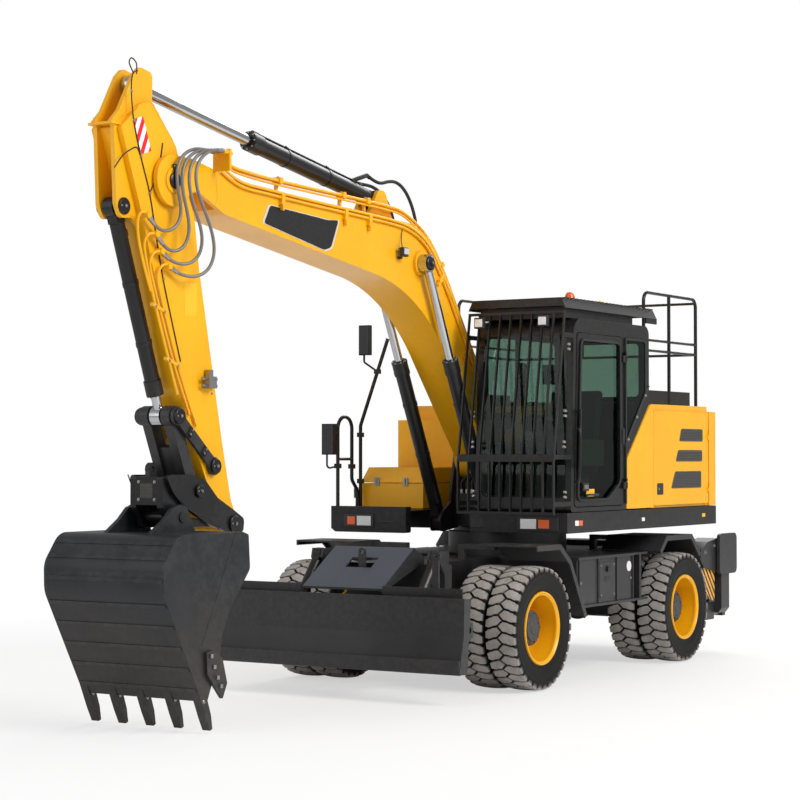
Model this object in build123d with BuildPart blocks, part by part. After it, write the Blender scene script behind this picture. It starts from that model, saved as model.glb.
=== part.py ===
"""A wheeled excavator of about 18 tonnes, built in millimetres.

+X is forward, +Y is the machine's left and +Z is up, with Z = 0 on the ground. Every piece is drawn
with X = 0 midway between the axles and moved back by ORIGIN_X when it is written, so that the files'
origin lies under the middle of the whole machine as parked. Pins are named by their X and Z.
"""
from build123d import *
from math import hypot, radians, sqrt, tan
import os

ORIGIN_X = 1445.0

# ---- undercarriage
WHEELBASE = 2950.0
FRONT = WHEELBASE / 2
REAR = -WHEELBASE / 2
AXLE_X = {"front": FRONT, "rear": REAR}
TYRE_R = 530.0
TYRE_WIDTH = 275.0
TRACK_OUTER = 1250.0
TWIN_GAP = 40.0
RIM_R = 304.0
RIM_WALL = 16.0
HUB_R = 140.0
SPINDLE_R = 60.0
KINGPIN_Y = 610.0
KINGPIN_R = 35.0
AXLE_R = 115.0
HOUSING_R = 150.0
GIRDER_HALF = 330.0
GIRDER_X = (REAR - 825.0, FRONT + 505.0)
GIRDER_Z = (740.0, 1080.0)
GIRDER_WALL = 25.0
BOX_X = (REAR + 915.0, FRONT - 875.0)
BOX_Y = 1120.0
BOX_Z = (640.0, 1090.0)
BOX_SHEET = 20.0
BAY_X = REAR + 595.0
RING_X = -150.0
RING_R = 560.0
RING_WALL = 90.0
RING_TOP = 1292.0
RING_GAP = 6.0
FENDER_Y = (620.0, 1245.0)
FENDER_TOP = 1235.0

# ---- blade
BLADE_HALF = 1240.0
BLADE_PIN = (FRONT + 605.0, 550.0)
BLADE_PIN_R = 30.0
BLADE_ARM_Y = (330.0, 380.0)
BLADE_LUG = 24.0
BLADE_RAM_Y = 590.0
BLADE_RAM_BASE = (FRONT + 675.0, 1150.0)
BLADE_RAM_TIP = (FRONT + 1085.0, 640.0)
COVER_HALF = 400.0
COVER_SHEET = 14.0

# ---- outriggers: the leg's pin as (Y, Z)
LEG_X = (REAR - 1235.0, REAR - 1035.0)
LEG_PIN = (1030.0, 430.0)
LEG_PIN_R = 30.0
PAD_X = (REAR - 1355.0, REAR - 915.0)
PAD_Y = (1180.0, 1215.0)
PAD_Z = (800.0, 1210.0)
REAR_BOX_X = (REAR - 975.0, REAR - 575.0)
REAR_BOX_Y = 1165.0
BEAM_Y = 950.0
BEAM_X = (LEG_X[0] - 80.0, REAR - 745.0)

# ---- superstructure
SKIRT_Z = (1320.0, 1500.0)
SKIRT_WALL = 110.0
DECK_SHEET = 20.0
FASCIA_TOP = SKIRT_Z[1] + 32.0
BODY_HALF = 1240.0
DECK_X = (-2080.0, 1010.0)
BAY_FRONT_X = 352.0
TAIL_R = 2430.0
HOOD_TOP = 2490.0
HOOD_X = (-2080.0, -770.0)
HOOD_HALF = BODY_HALF - 28.0
FLOOR = 1506.0
SHEET = 12.0
DOOR_SHEET = 18.0
DOOR_GAP = 6.0
HOOD_HINGE = (-2062.0, BODY_HALF + 6.0)
KNUCKLE_R = 9.0
DOOR_KNUCKLE_R = 14.0
TANK_X = (-755.0, -150.0)
TANK_Y = (15.0 - BODY_HALF, -520.0)
TANK_TOP = 2350.0
TOOL_X = (-140.0, 520.0)
TOOL_Y = (15.0 - BODY_HALF, -530.0)
TOOL_Z = (FLOOR, 1740.0, 1890.0)
LID_ROUND = 12.0
RAIL_R = 17.0

# ---- cab
CAB_Y = (268.0, BODY_HALF - 5.0)
CAB_WALL = 42.0
CAB_ROOF = 3220.0
CAB_FRONT = ((935.0, FLOOR), (865.0, CAB_ROOF))
CAB_SIDE = [*CAB_FRONT, (-680, CAB_ROOF), (-680, 2490), (-170, 1965), (-170, FLOOR)]
DOORWAY = [(880, 1545), (815, 3095), (-105, 3095), (-105, 1545)]
DOOR_WINDOW = [(822, 1610), (752, 3030), (-35, 3030), (-35, 1760), (220, 1610)]
DOOR_HINGE = (-128.0, CAB_Y[1] + 27.0)
LEFT_WINDOW = [(-160, 3080), (-600, 3080), (-600, 2540), (-160, 2090)]
RIGHT_WINDOW = [(850, 1700), (800, 3080), (-600, 3080), (-600, 2540), (-80, 2010), (-80, 1700)]
GLASS = 6.0
REBATE = 16.0

# ---- boom, arm and bucket
BOOM_Y = -80.0
BOOM_HALF = 190.0
PLATE = 14.0
BOOM_PIN = (200.0, 1970.0)
ARM_PIN = (5110.0, 4028.0)
BOOM_RAM_BASE = (514.0, 1380.0)
BOOM_RAM_TIP = (1644.0, 3686.0)
BOOM_RAM_Y = 268.0
ARM_RAM_BASE = (2092.0, 4210.0)
ARM_RAM_TIP = (5342.0, 4708.0)
BUCKET_RAM_BASE = (5567.0, 3800.0)
LINK_PIN = (5022.0, 2296.0)
SIDE_LINK_PIN = (4579.0, 1924.0)
COUPLER_LINK_PIN = (4782.0, 1738.0)
COUPLER_PIN = (4350.0, 1485.0)
BUCKET_PIN = (5038.0, 1551.0)
BOOM_PIN_R = 50.0
ARM_PIN_R = 55.0
COUPLER_PIN_R = 45.0
LINK_PIN_R = 34.0
FOOT_R = 180.0
NOSE_R = 190.0
TIP_R = 105.0
ARM_BOSS_R = 150.0
ARM_HALF = 140.0
FORK_GAP = 12.0
FORK_X = 4560.0
BRACKET = 26.0
NOTCH_Z = (4465.0, 4700.0)
NOTCH_FRONT = 5408.0
LUG_Y = (62.0, 96.0)
SIDE_LINK_Y = (150.0, 176.0)
EAR_Y = (152.0, 182.0)
BUCKET_EAR_Y = (190.0, 225.0)
BUCKET_HALF = 555.0
BUCKET_SHELL = 22.0
TEETH = 5
TOOTH_WIDTH = 70.0
PIN_CLEAR = 0.5
SIDE_CLEAR = 6.0

# the hoses that cross the arm's pin, from the boom's pipe ends to the arm's left side, as (X, Y, Z);
# each hangs in its own layer of Y beside the boom's nose
HOSE_R = 13.0
FITTING_R = 17.0
FITTING = 45.0
HOSE_GAP = 1.0
HOSES = {
    "first_hose": [
        (4702, 158, 4290), (4800, 158, 4294), (4920, 158, 4285), (5035, 158, 4240), (5115, 158, 4155),
        (5135, 158, 4045), (5112, 158, 3935), (5078, 158, 3830), (5088, 154, 3735), (5150, 142, 3663),
        (5240, 124, 3640), (5318, 112, 3668), (5378, 112, 3718),
    ],
    "second_hose": [
        (4702, 186, 4290), (4795, 186, 4290), (4905, 186, 4272), (5010, 186, 4222), (5085, 186, 4142),
        (5108, 186, 4032), (5088, 186, 3920), (5045, 186, 3810), (5012, 184, 3698), (5022, 175, 3595),
        (5075, 156, 3518), (5155, 130, 3500), (5225, 112, 3535), (5280, 112, 3585),
    ],
    "third_hose": [
        (4702, 214, 4290), (4790, 214, 4288), (4890, 214, 4262), (4985, 214, 4208), (5048, 214, 4122),
        (5060, 214, 4015), (5028, 214, 3905), (4975, 214, 3800), (4915, 214, 3695), (4886, 208, 3590),
        (4905, 195, 3490), (4975, 170, 3425), (5065, 140, 3412), (5148, 112, 3435), (5212, 112, 3472),
    ],
    "fourth_hose": [
        (4702, 242, 4290), (4785, 242, 4286), (4880, 242, 4255), (4962, 242, 4195), (5014, 242, 4105),
        (5008, 242, 4000), (4960, 242, 3900), (4892, 242, 3800), (4830, 242, 3700), (4786, 240, 3592),
        (4776, 232, 3485), (4815, 212, 3388), (4893, 180, 3335), (4982, 145, 3328), (5060, 112, 3348),
        (5120, 112, 3374),
    ],
}
# the arm ram's two hoses, from its barrel back to the boom's top
RAM_HOSE_R = 15.0
RAM_FITTING_R = 19.0
RAM_HOSES = {
    "long_ram_hose": [
        (2180, -60, 4398), (2090, -60, 4372), (1995, -60, 4366), (1900, -60, 4392), (1800, -60, 4408),
        (1700, -60, 4396), (1605, -60, 4350), (1520, -60, 4272), (1455, -60, 4172), (1415, -60, 4075),
        (1396, -60, 3980), (1396, -60, 3895),
    ],
    "short_ram_hose": [
        (2230, -100, 4335), (2150, -100, 4338), (2060, -100, 4330), (1970, -100, 4306),
        (1885, -100, 4262), (1810, -100, 4200), (1755, -100, 4125), (1725, -100, 4055),
    ],
}
RAM_PORTS = {"long_ram_hose": (2470, 4335), "short_ram_hose": (2330, 4313)}
BOOM_PORTS = {"long_ram_hose": (1396, 3835), "short_ram_hose": (1712, 3990)}

# each ram: the radii of its barrel, gland, rod and pin, half its eye's width, where its barrel starts
# and ends from the base pin, and how far the rod reaches into it when parked
BOOM_RAM = dict(
    barrel=64.0, gland=72.0, rod=38.0, pin=38.0, eye=40.0, start=215.0, end=1640.0, piston=500.0)
ARM_RAM = dict(barrel=70.0, gland=80.0, rod=45.0, pin=40.0, eye=50.0, start=150.0, end=1850.0, piston=450.0)
BUCKET_RAM = dict(
    barrel=56.0, gland=66.0, rod=36.0, pin=35.0, eye=45.0, start=120.0, end=1430.0, piston=1100.0)
BLADE_RAM = dict(barrel=50.0, gland=56.0, rod=28.0, pin=25.0, eye=30.0, start=95.0, end=470.0, piston=235.0)
ROD_CLEAR = 1.5


# ---------------------------------------------------------------- shapes that many pieces share
def save(piece, name):
    """Write a finished piece under its node name."""
    shifted = piece.part.moved(Location((-ORIGIN_X, 0, 0)))
    shifted.label = name
    export_step(shifted, f"parts/{name}.step")


def slab(x, y, z, mode=Mode.ADD):
    """A box between two limits along each axis."""
    with Locations(tuple((low + high) / 2 for low, high in (x, y, z))):
        Box(*[high - low for low, high in (x, y, z)], mode=mode)


def side_shape(points, y, radius=0, grow=0, mode=Mode.ADD):
    """An outline drawn in X and Z, between two values of Y."""
    with BuildSketch(Plane.XZ.offset(-y[0])) as profile:
        with BuildLine():
            FilletPolyline(*points, radius=radius, close=True)
        make_face()
        if grow:
            offset(amount=grow)
    extrude(profile.sketch, amount=y[0] - y[1], mode=mode)


def end_shape(points, x, radius=0, mode=Mode.ADD):
    """An outline drawn in Y and Z, between two values of X."""
    with BuildSketch(Plane.YZ.offset(x[0])) as profile:
        with BuildLine():
            FilletPolyline(*points, radius=radius, close=True)
        make_face()
    extrude(profile.sketch, amount=x[1] - x[0], mode=mode)


def pin(centre, radius, y, mode=Mode.ADD):
    """A round bar along Y through a point given in X and Z."""
    with BuildSketch(Plane.XZ.offset(-y[0])) as profile:
        with Locations(centre):
            Circle(radius)
    extrude(profile.sketch, amount=y[0] - y[1], mode=mode)


def bar_x(centre, radius, x, mode=Mode.ADD):
    """A round bar along X through a point given in Y and Z."""
    with BuildSketch(Plane.YZ.offset(x[0])) as profile:
        with Locations(centre):
            Circle(radius)
    extrude(profile.sketch, amount=x[1] - x[0], mode=mode)


def bar_z(centre, radius, z, mode=Mode.ADD):
    """An upright round bar through a point given in X and Y."""
    with BuildSketch(Plane.XY.offset(z[0])) as profile:
        with Locations(centre):
            Circle(radius)
    extrude(profile.sketch, amount=z[1] - z[0], mode=mode)


def reach(start, end):
    return hypot(end[0] - start[0], end[1] - start[1])


def towards(start, end, distance):
    """The point at a distance from start on the way to end, in X and Z."""
    return tuple(a + (b - a) * distance / reach(start, end) for a, b in zip(start, end))


def bar(start, end, y, radius, mode=Mode.ADD):
    """A round bar at one value of Y between two points given in X and Z."""
    line = Plane(
        origin=(start[0], y, start[1]), x_dir=(0, 1, 0), z_dir=(end[0] - start[0], 0, end[1] - start[1])
    )
    with BuildSketch(line) as profile:
        Circle(radius)
    extrude(profile.sketch, amount=reach(start, end), mode=mode)


def strip(start, end, width):
    """The four corners of a straight strip between two points."""
    dx, dz = (b - a for a, b in zip(start, end))
    nx = -dz / reach(start, end) * width / 2
    nz = dx / reach(start, end) * width / 2
    return [
        (start[0] + nx, start[1] + nz), (end[0] + nx, end[1] + nz),
        (end[0] - nx, end[1] - nz), (start[0] - nx, start[1] - nz),
    ]


def bent_tube(points, radius, bend):
    """A round tube along a path with rounded corners."""
    with BuildLine() as path:
        FilletPolyline(*points, radius=bend)
    with BuildSketch(path.line ^ 0) as profile:
        Circle(radius)
    sweep(profile.sketch, path=path.line)


def ahead(x, points):
    """An outline given from a place on the machine, moved forward by that place's X."""
    return [(x + dx, z) for dx, z in points]


def mirrored(y):
    """The same span of Y on the machine's left and right."""
    return [y, (-y[1], -y[0])]


def beside(middle, span):
    """A span measured outwards from a middle line, on its left and on its right."""
    return [(middle + span[0], middle + span[1]), (middle - span[1], middle - span[0])]


def ram_barrel(base, tip, y, ram):
    """A cylinder's tube, its gland and its base eye, bored for the rod and the base pin."""
    start = towards(base, tip, ram["start"])
    eye = (y - ram["eye"], y + ram["eye"])
    side_shape(strip(base, start, 2.6 * ram["pin"]), eye)
    pin(base, 2.1 * ram["pin"], eye)
    bar(start, towards(base, tip, ram["end"]), y, ram["barrel"])
    bar(towards(base, tip, ram["end"] - 2 * ram["barrel"]), towards(base, tip, ram["end"]), y, ram["gland"])
    bottom = towards(base, tip, ram["start"] + 40)
    bar(bottom, towards(base, tip, ram["end"] + 1), y, ram["rod"] + ROD_CLEAR, mode=Mode.SUBTRACT)
    pin(base, ram["pin"] + PIN_CLEAR, eye, mode=Mode.SUBTRACT)


def ram_rod(base, tip, y, ram):
    """A cylinder's rod with its eye, as far into the tube as it reaches when parked."""
    bar(towards(base, tip, ram["end"] - ram["piston"]), tip, y, ram["rod"])
    pin(tip, 2.1 * ram["pin"], (y - ram["eye"], y + ram["eye"]))


# ---------------------------------------------------------------- undercarriage
def make_chassis():
    wall = GIRDER_WALL
    with BuildPart() as chassis:
        slab(GIRDER_X, (-GIRDER_HALF, GIRDER_HALF), GIRDER_Z)
        slab(
            (GIRDER_X[0] + wall, GIRDER_X[1] - wall), (wall - GIRDER_HALF, GIRDER_HALF - wall),
            (GIRDER_Z[0] + wall, GIRDER_Z[1] - wall), mode=Mode.SUBTRACT,
        )
        bar_z((RING_X, 0), RING_R, (GIRDER_Z[1], RING_TOP))
        bar_z((RING_X, 0), RING_R - RING_WALL, (GIRDER_Z[1] + 1, RING_TOP), mode=Mode.SUBTRACT)
        chassis_sides()
        chassis_nose()
        chassis_tail()
    save(chassis, "chassis_frame")


def chassis_sides():
    """The step boxes between the wheels, with an open bay behind each."""
    sheet = BOX_SHEET
    for y in mirrored((GIRDER_HALF, BOX_Y)):
        slab(BOX_X, y, BOX_Z)
        slab((BAY_X, BOX_X[0]), y, (BOX_Z[1] - sheet, BOX_Z[1]))
        slab((BAY_X, BOX_X[0]), y, (BOX_Z[0], BOX_Z[0] + sheet))
    for y in mirrored((GIRDER_HALF + sheet, BOX_Y - sheet)):
        inside_x = (BOX_X[0] + sheet, BOX_X[1] - sheet)
        slab(inside_x, y, (BOX_Z[0] + sheet, BOX_Z[1] - sheet), mode=Mode.SUBTRACT)
    for y in mirrored((GIRDER_HALF, 880)):
        slab((BAY_X + 60, BOX_X[0]), y, BOX_Z)
    for y in mirrored((BOX_Y - 60, BOX_Y)):
        slab((BAY_X + 140, BAY_X + 180), y, BOX_Z)


def chassis_nose():
    """The front plates that carry the blade's pins, its cylinders and its sloping cover."""
    face = GIRDER_X[1]
    hinge_x = BLADE_PIN[0]
    slab((face, face + 20), (-412, 412), (470, GIRDER_Z[1]))
    inner, outer = BLADE_ARM_Y
    lug_side = [(-90, 470), (-90, 640), (50, 620), (55, 500), (0, 470)]
    outside = (outer + SIDE_CLEAR, outer + SIDE_CLEAR + BLADE_LUG)
    inside = (inner - SIDE_CLEAR - BLADE_LUG, inner - SIDE_CLEAR)
    for y in mirrored(outside) + mirrored(inside):
        side_shape(ahead(hinge_x, lug_side), y)
    for y in mirrored((inside[0], outside[1])):
        pin(BLADE_PIN, BLADE_PIN_R, y)
    lug = (BLADE_RAM["eye"] + SIDE_CLEAR, BLADE_RAM["eye"] + SIDE_CLEAR + BLADE_LUG)
    slab((face + 15, face + 130), (-BLADE_RAM_Y - lug[1], BLADE_RAM_Y + lug[1]), (880, GIRDER_Z[1]))
    ram_lug = [(-50, 900), (-40, 1195), (105, 1200), (125, 1120), (30, 1000), (20, 900)]
    for side in (1, -1):
        for y in beside(side * BLADE_RAM_Y, lug):
            side_shape(ahead(hinge_x, ram_lug), y)
        pin(BLADE_RAM_BASE, BLADE_RAM["pin"], (side * BLADE_RAM_Y - lug[1], side * BLADE_RAM_Y + lug[1]))
    # the cover, with its slot and a lifting eye
    top, bend, end = (-20, 1150), (115, 1220), (620, 900)
    lid = [top, bend, end, (620, 900 - COVER_SHEET), (115, 1218 - COVER_SHEET), (-20, 1130)]
    skirt = [(-50, 1070), (-50, 1140), top, bend, end, (620, 870), (30, 1070)]
    side_shape(ahead(hinge_x, lid), (-COVER_HALF, COVER_HALF))
    for y in mirrored((COVER_HALF - COVER_SHEET, COVER_HALF)):
        side_shape(ahead(hinge_x, skirt), y)
    slab((hinge_x + 250, hinge_x + 370), (-130, 130), (950, 1250), mode=Mode.SUBTRACT)
    eye_x = (hinge_x + 296, hinge_x + 312)
    slab(eye_x, (-COVER_HALF + 5, COVER_HALF - 5), (1010, 1050))
    slab(eye_x, (-35, 35), (1040, 1190))
    bar_x((0, 1190), 35, eye_x)
    bar_x((0, 1190), 16, eye_x, mode=Mode.SUBTRACT)


def chassis_tail():
    """The box and the low cross beam that carry the outriggers."""
    x0, x1 = REAR_BOX_X
    pin_y, pin_z = LEG_PIN
    wall = GIRDER_WALL
    slab(REAR_BOX_X, (-BEAM_Y, BEAM_Y), (540, 1130))
    inside_y = (wall - BEAM_Y, BEAM_Y - wall)
    slab((x0 + wall, x1 - wall), inside_y, (540 + wall, 1130 - wall), mode=Mode.SUBTRACT)
    cheek = [(0, 825), (0, 1165), (242, 1135), (405, 1062), (435, 967), (340, 880)]
    for y in mirrored((BEAM_Y, REAR_BOX_Y)):
        side_shape(ahead(x0, cheek), y)
    for y in mirrored((BEAM_Y - wall, REAR_BOX_Y - 30)):
        slab((x0 + 20, x0 + 140), y, (520, 545))
    board = [(10, 520), (10, 890), (340, 890), (270, 655), (130, 535)]
    for y in mirrored((REAR_BOX_Y - 50, REAR_BOX_Y - 30)):
        side_shape(ahead(x0, board), y)
    slab(BEAM_X, (-BEAM_Y, BEAM_Y), (340, 540))
    hollow_x = (BEAM_X[0] + wall, BEAM_X[1] - wall)
    slab(hollow_x, (wall - BEAM_Y, BEAM_Y - wall), (340 + wall, 540 - wall), mode=Mode.SUBTRACT)
    for y in mirrored((BEAM_Y, pin_y + 70)):
        slab((BEAM_X[0], LEG_X[0] - SIDE_CLEAR), y, (360, 500))
        slab((LEG_X[1] + SIDE_CLEAR, BEAM_X[1]), y, (340, 540))
    for side in (1, -1):
        bar_x((side * pin_y, pin_z), LEG_PIN_R, (BEAM_X[0], LEG_X[1] + 80))


def make_fenders():
    sheet, lip = 16, 48
    top = FENDER_TOP
    front = [(-835, 590), (-535, 1085), (-335, top), (95, top)]
    rear = [(575, 1100), (425, top), (-165, top), (-375, 1040)]
    under_front = [(95, top - sheet), (-327, top - sheet), (-522, 1073), (-819, 582)]
    under_rear = [(-363, 1028), (-158, top - sheet), (418, top - sheet), (564, 1088)]
    lip_front = [(95, top - lip), (-317, top - lip), (-497, 1056), (-794, 565)]
    lip_rear = [(-342, 1005), (-146, top - lip), (406, top - lip), (543, 1064)]
    edge = (FENDER_Y[1] - sheet, FENDER_Y[1])
    with BuildPart() as fenders:
        for axle, over, under, edging, post in (
            (FRONT, front, under_front, lip_front, -295),
            (REAR, rear, under_rear, lip_rear, 75),
        ):
            for y in mirrored(FENDER_Y):
                side_shape(ahead(axle, over + under), y)
            for y in mirrored(edge):
                side_shape(ahead(axle, over + edging), y)
            post_x = (axle + post, axle + post + 60)
            for y in mirrored((GIRDER_HALF - 60, FENDER_Y[0] + 20)):
                slab(post_x, y, (top - sheet - 45, top - sheet))
            for y in mirrored((GIRDER_HALF - 60, GIRDER_HALF)):
                slab(post_x, y, (GIRDER_Z[1], top - sheet))
    save(fenders, "fenders")


def make_axle(end):
    x = AXLE_X[end]
    centre = (x, TYRE_R)
    yoke = KINGPIN_Y - 90
    half = yoke if end == "front" else 700
    with BuildPart() as axle:
        pin(centre, AXLE_R, (-half, half))
        with Locations((x, 0, TYRE_R)):
            Sphere(HOUSING_R)
        for y in mirrored((220, GIRDER_HALF)):
            slab((x - 90, x + 90), y, (TYRE_R, GIRDER_Z[0]))
        if end == "front":
            for y in mirrored((yoke - 30, yoke)):
                slab((x - 75, x + 75), y, (TYRE_R - 190, TYRE_R + 190))
            for y in mirrored((yoke - 10, KINGPIN_Y + 40)):
                slab((x - 60, x + 60), y, (TYRE_R + 150, TYRE_R + 190))
                slab((x - 60, x + 60), y, (TYRE_R - 190, TYRE_R - 150))
            for side in (1, -1):
                bar_z((x, side * KINGPIN_Y), KINGPIN_R, (TYRE_R - 180, TYRE_R + 180))
        else:
            pin(centre, SPINDLE_R, (-1005, 1005))
        shaft = (x - 1150, x - HOUSING_R + 20) if end == "front" else (x + HOUSING_R - 20, x + 1150)
        bar_x((0, TYRE_R + 20), 45, shaft)
    save(axle, f"{end}_axle")


def make_knuckle(side, name):
    centre = (AXLE_X["front"], TYRE_R)
    with BuildPart() as knuckle:
        pin(centre, 125, sorted((side * (KINGPIN_Y - 20), side * 700)))
        pin(centre, SPINDLE_R, sorted((side * 690, side * 1005)))
        bar_z((centre[0], side * KINGPIN_Y), 75, (TYRE_R - 144, TYRE_R + 144))
        bar_z((centre[0], side * KINGPIN_Y), KINGPIN_R + PIN_CLEAR, (TYRE_R - 200, TYRE_R + 200),
            mode=Mode.SUBTRACT)
    save(knuckle, name)


def make_wheel(end, side, name):
    """Twin tyres, and the rims and hub that carry both, turned about the axle line."""
    x = AXLE_X[end]
    inner = TRACK_OUTER - 2 * TYRE_WIDTH - TWIN_GAP
    spin = Axis((x, 0, TYRE_R), (0, 1, 0))
    section = Plane(origin=(x, 0, TYRE_R), x_dir=(0, side, 0), z_dir=(side, 0, 0))
    with BuildPart() as tyres:
        for start in (inner, TRACK_OUTER - TYRE_WIDTH):
            end_y = start + TYRE_WIDTH
            with BuildSketch(section):
                with BuildLine():
                    FilletPolyline(
                        (start + 12, RIM_R), (start, 430), (start + 14, TYRE_R), (end_y - 14, TYRE_R),
                        (end_y, 430), (end_y - 12, RIM_R), radius=(0, 60, 22, 22, 60, 0), close=True,
                    )
                make_face()
            revolve(axis=spin)
    save(tyres, f"{name}_tyres")
    bore = SPINDLE_R + PIN_CLEAR
    outer_r, inner_r = RIM_R - 1, RIM_R - 1 - RIM_WALL
    with BuildPart() as wheel:
        with BuildSketch(section):
            with BuildLine():
                Polyline(
                    (715, bore), (715, HUB_R), (940, HUB_R), (940, inner_r), (inner + 14, inner_r),
                    (inner + 14, outer_r), (TRACK_OUTER - 14, outer_r), (TRACK_OUTER - 14, inner_r),
                    (975, inner_r), (975, HUB_R + 15), (1130, HUB_R + 5), (1140, HUB_R - 10), (1140, 0),
                    (1012, 0), (1012, bore), close=True,
                )
            make_face()
        revolve(axis=spin)
    save(wheel, f"{name}_wheel")


# ---------------------------------------------------------------- blade
def make_blade():
    hinge_x, hinge_z = BLADE_PIN
    back_x = hinge_x + 620
    face = ahead(hinge_x, [
        (800, 256), (768, 350), (726, 560), (720, 859), (702, 859), (708, 558), (749, 345), (778, 250),
    ])
    end_plate = [(798, 256), (726, 560), (720, 859), (610, 850), (676, 250)]
    rib = [(625, 780), (632, 795), (712, 760), (712, 745)]
    push_arm = [(0, hinge_z + 65), (620, 760), (715, 700), (720, 420), (620, 400), (0, hinge_z - 65)]
    ram_lug = [(718, 520), (718, 760), (560, 720), (440, 690), (420, 640), (440, 590), (560, 540)]
    tow_eye = [(520, 540), (520, 650), (580, 677), (720, 677), (720, 516), (560, 516)]
    lug = (BLADE_RAM["eye"] + SIDE_CLEAR, BLADE_RAM["eye"] + SIDE_CLEAR + BLADE_LUG)
    with BuildPart() as eyes:
        for y in mirrored((BLADE_HALF - 60, BLADE_HALF - 35)):
            side_shape(ahead(hinge_x, tow_eye), y)
            side_shape(face, y, mode=Mode.SUBTRACT)
            pin((hinge_x + 570, 596), 26, y, mode=Mode.SUBTRACT)
        slab((back_x - 20, back_x), (880, 940), (760, 1190))
        bar_x((910, 1190), 45, (back_x - 20, back_x))
        bar_x((910, 1190), 20, (back_x - 20, back_x), mode=Mode.SUBTRACT)
    save(eyes, "blade_eyes")
    with BuildPart() as blade:
        side_shape(face, (-BLADE_HALF, BLADE_HALF))
        for y in mirrored((BLADE_HALF - 18, BLADE_HALF)):
            side_shape(ahead(hinge_x, end_plate), y)
        for y in mirrored((COVER_HALF + 8, BLADE_HALF - 70)):
            slab((back_x, back_x + 12), y, (600, 930))
            side_shape(ahead(hinge_x, rib), y)
        # the push frame
        for y in mirrored(BLADE_ARM_Y):
            side_shape(ahead(hinge_x, push_arm), y)
            pin(BLADE_PIN, 68, y)
        slab((hinge_x + 400, hinge_x + 720), (-BLADE_ARM_Y[0], BLADE_ARM_Y[0]), (450, 640))
        for side in (1, -1):
            for y in beside(side * BLADE_RAM_Y, lug):
                side_shape(ahead(hinge_x, ram_lug), y)
        for y in mirrored(BLADE_ARM_Y):
            pin(BLADE_PIN, BLADE_PIN_R + PIN_CLEAR, y, mode=Mode.SUBTRACT)
    save(blade, "blade")
    with BuildPart() as barrels:
        for side in (1, -1):
            ram_barrel(BLADE_RAM_BASE, BLADE_RAM_TIP, side * BLADE_RAM_Y, BLADE_RAM)
    save(barrels, "blade_barrels")
    with BuildPart() as rods:
        for side in (1, -1):
            ram_rod(BLADE_RAM_BASE, BLADE_RAM_TIP, side * BLADE_RAM_Y, BLADE_RAM)
    save(rods, "blade_rods")


# ---------------------------------------------------------------- outriggers
def make_leg(side, name):
    y_pin, z_pin = LEG_PIN
    body = [
        (y_pin - 58, z_pin), (y_pin - 45, 950), (y_pin + 40, 1130), (PAD_Y[0], 1130),
        (PAD_Y[0], z_pin + 18), (y_pin + 110, z_pin - 30), (y_pin + 58, z_pin - 20),
    ]
    with BuildPart() as leg:
        end_shape([(side * y, z) for y, z in body], LEG_X)
        bar_x((side * y_pin, z_pin), 62, LEG_X)
        side_shape(
            [(PAD_X[0], PAD_Z[0]), (PAD_X[0], PAD_Z[1]), (PAD_X[1], PAD_Z[1]), (PAD_X[1], PAD_Z[0])],
            sorted(side * y for y in PAD_Y), radius=60,
        )
        bar_x((side * y_pin, z_pin), LEG_PIN_R + PIN_CLEAR, LEG_X, mode=Mode.SUBTRACT)
    save(leg, name)


# ---------------------------------------------------------------- superstructure
def tail_x(y):
    """How far back the tail reaches at a given Y."""
    return RING_X - sqrt(TAIL_R**2 - y**2)


def tail_block(front, half, z):
    """The rounded rear block between a front line and the tail's arc."""
    with BuildSketch(Plane.XY.offset(z[0])) as plan:
        with BuildLine():
            Line((front, half), (tail_x(half), half))
            ThreePointArc((tail_x(half), half), (tail_x(0), 0), (tail_x(half), -half))
            Polyline((tail_x(half), -half), (front, -half), (front, half))
        make_face()
    extrude(plan.sketch, amount=z[1] - z[0])


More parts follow.
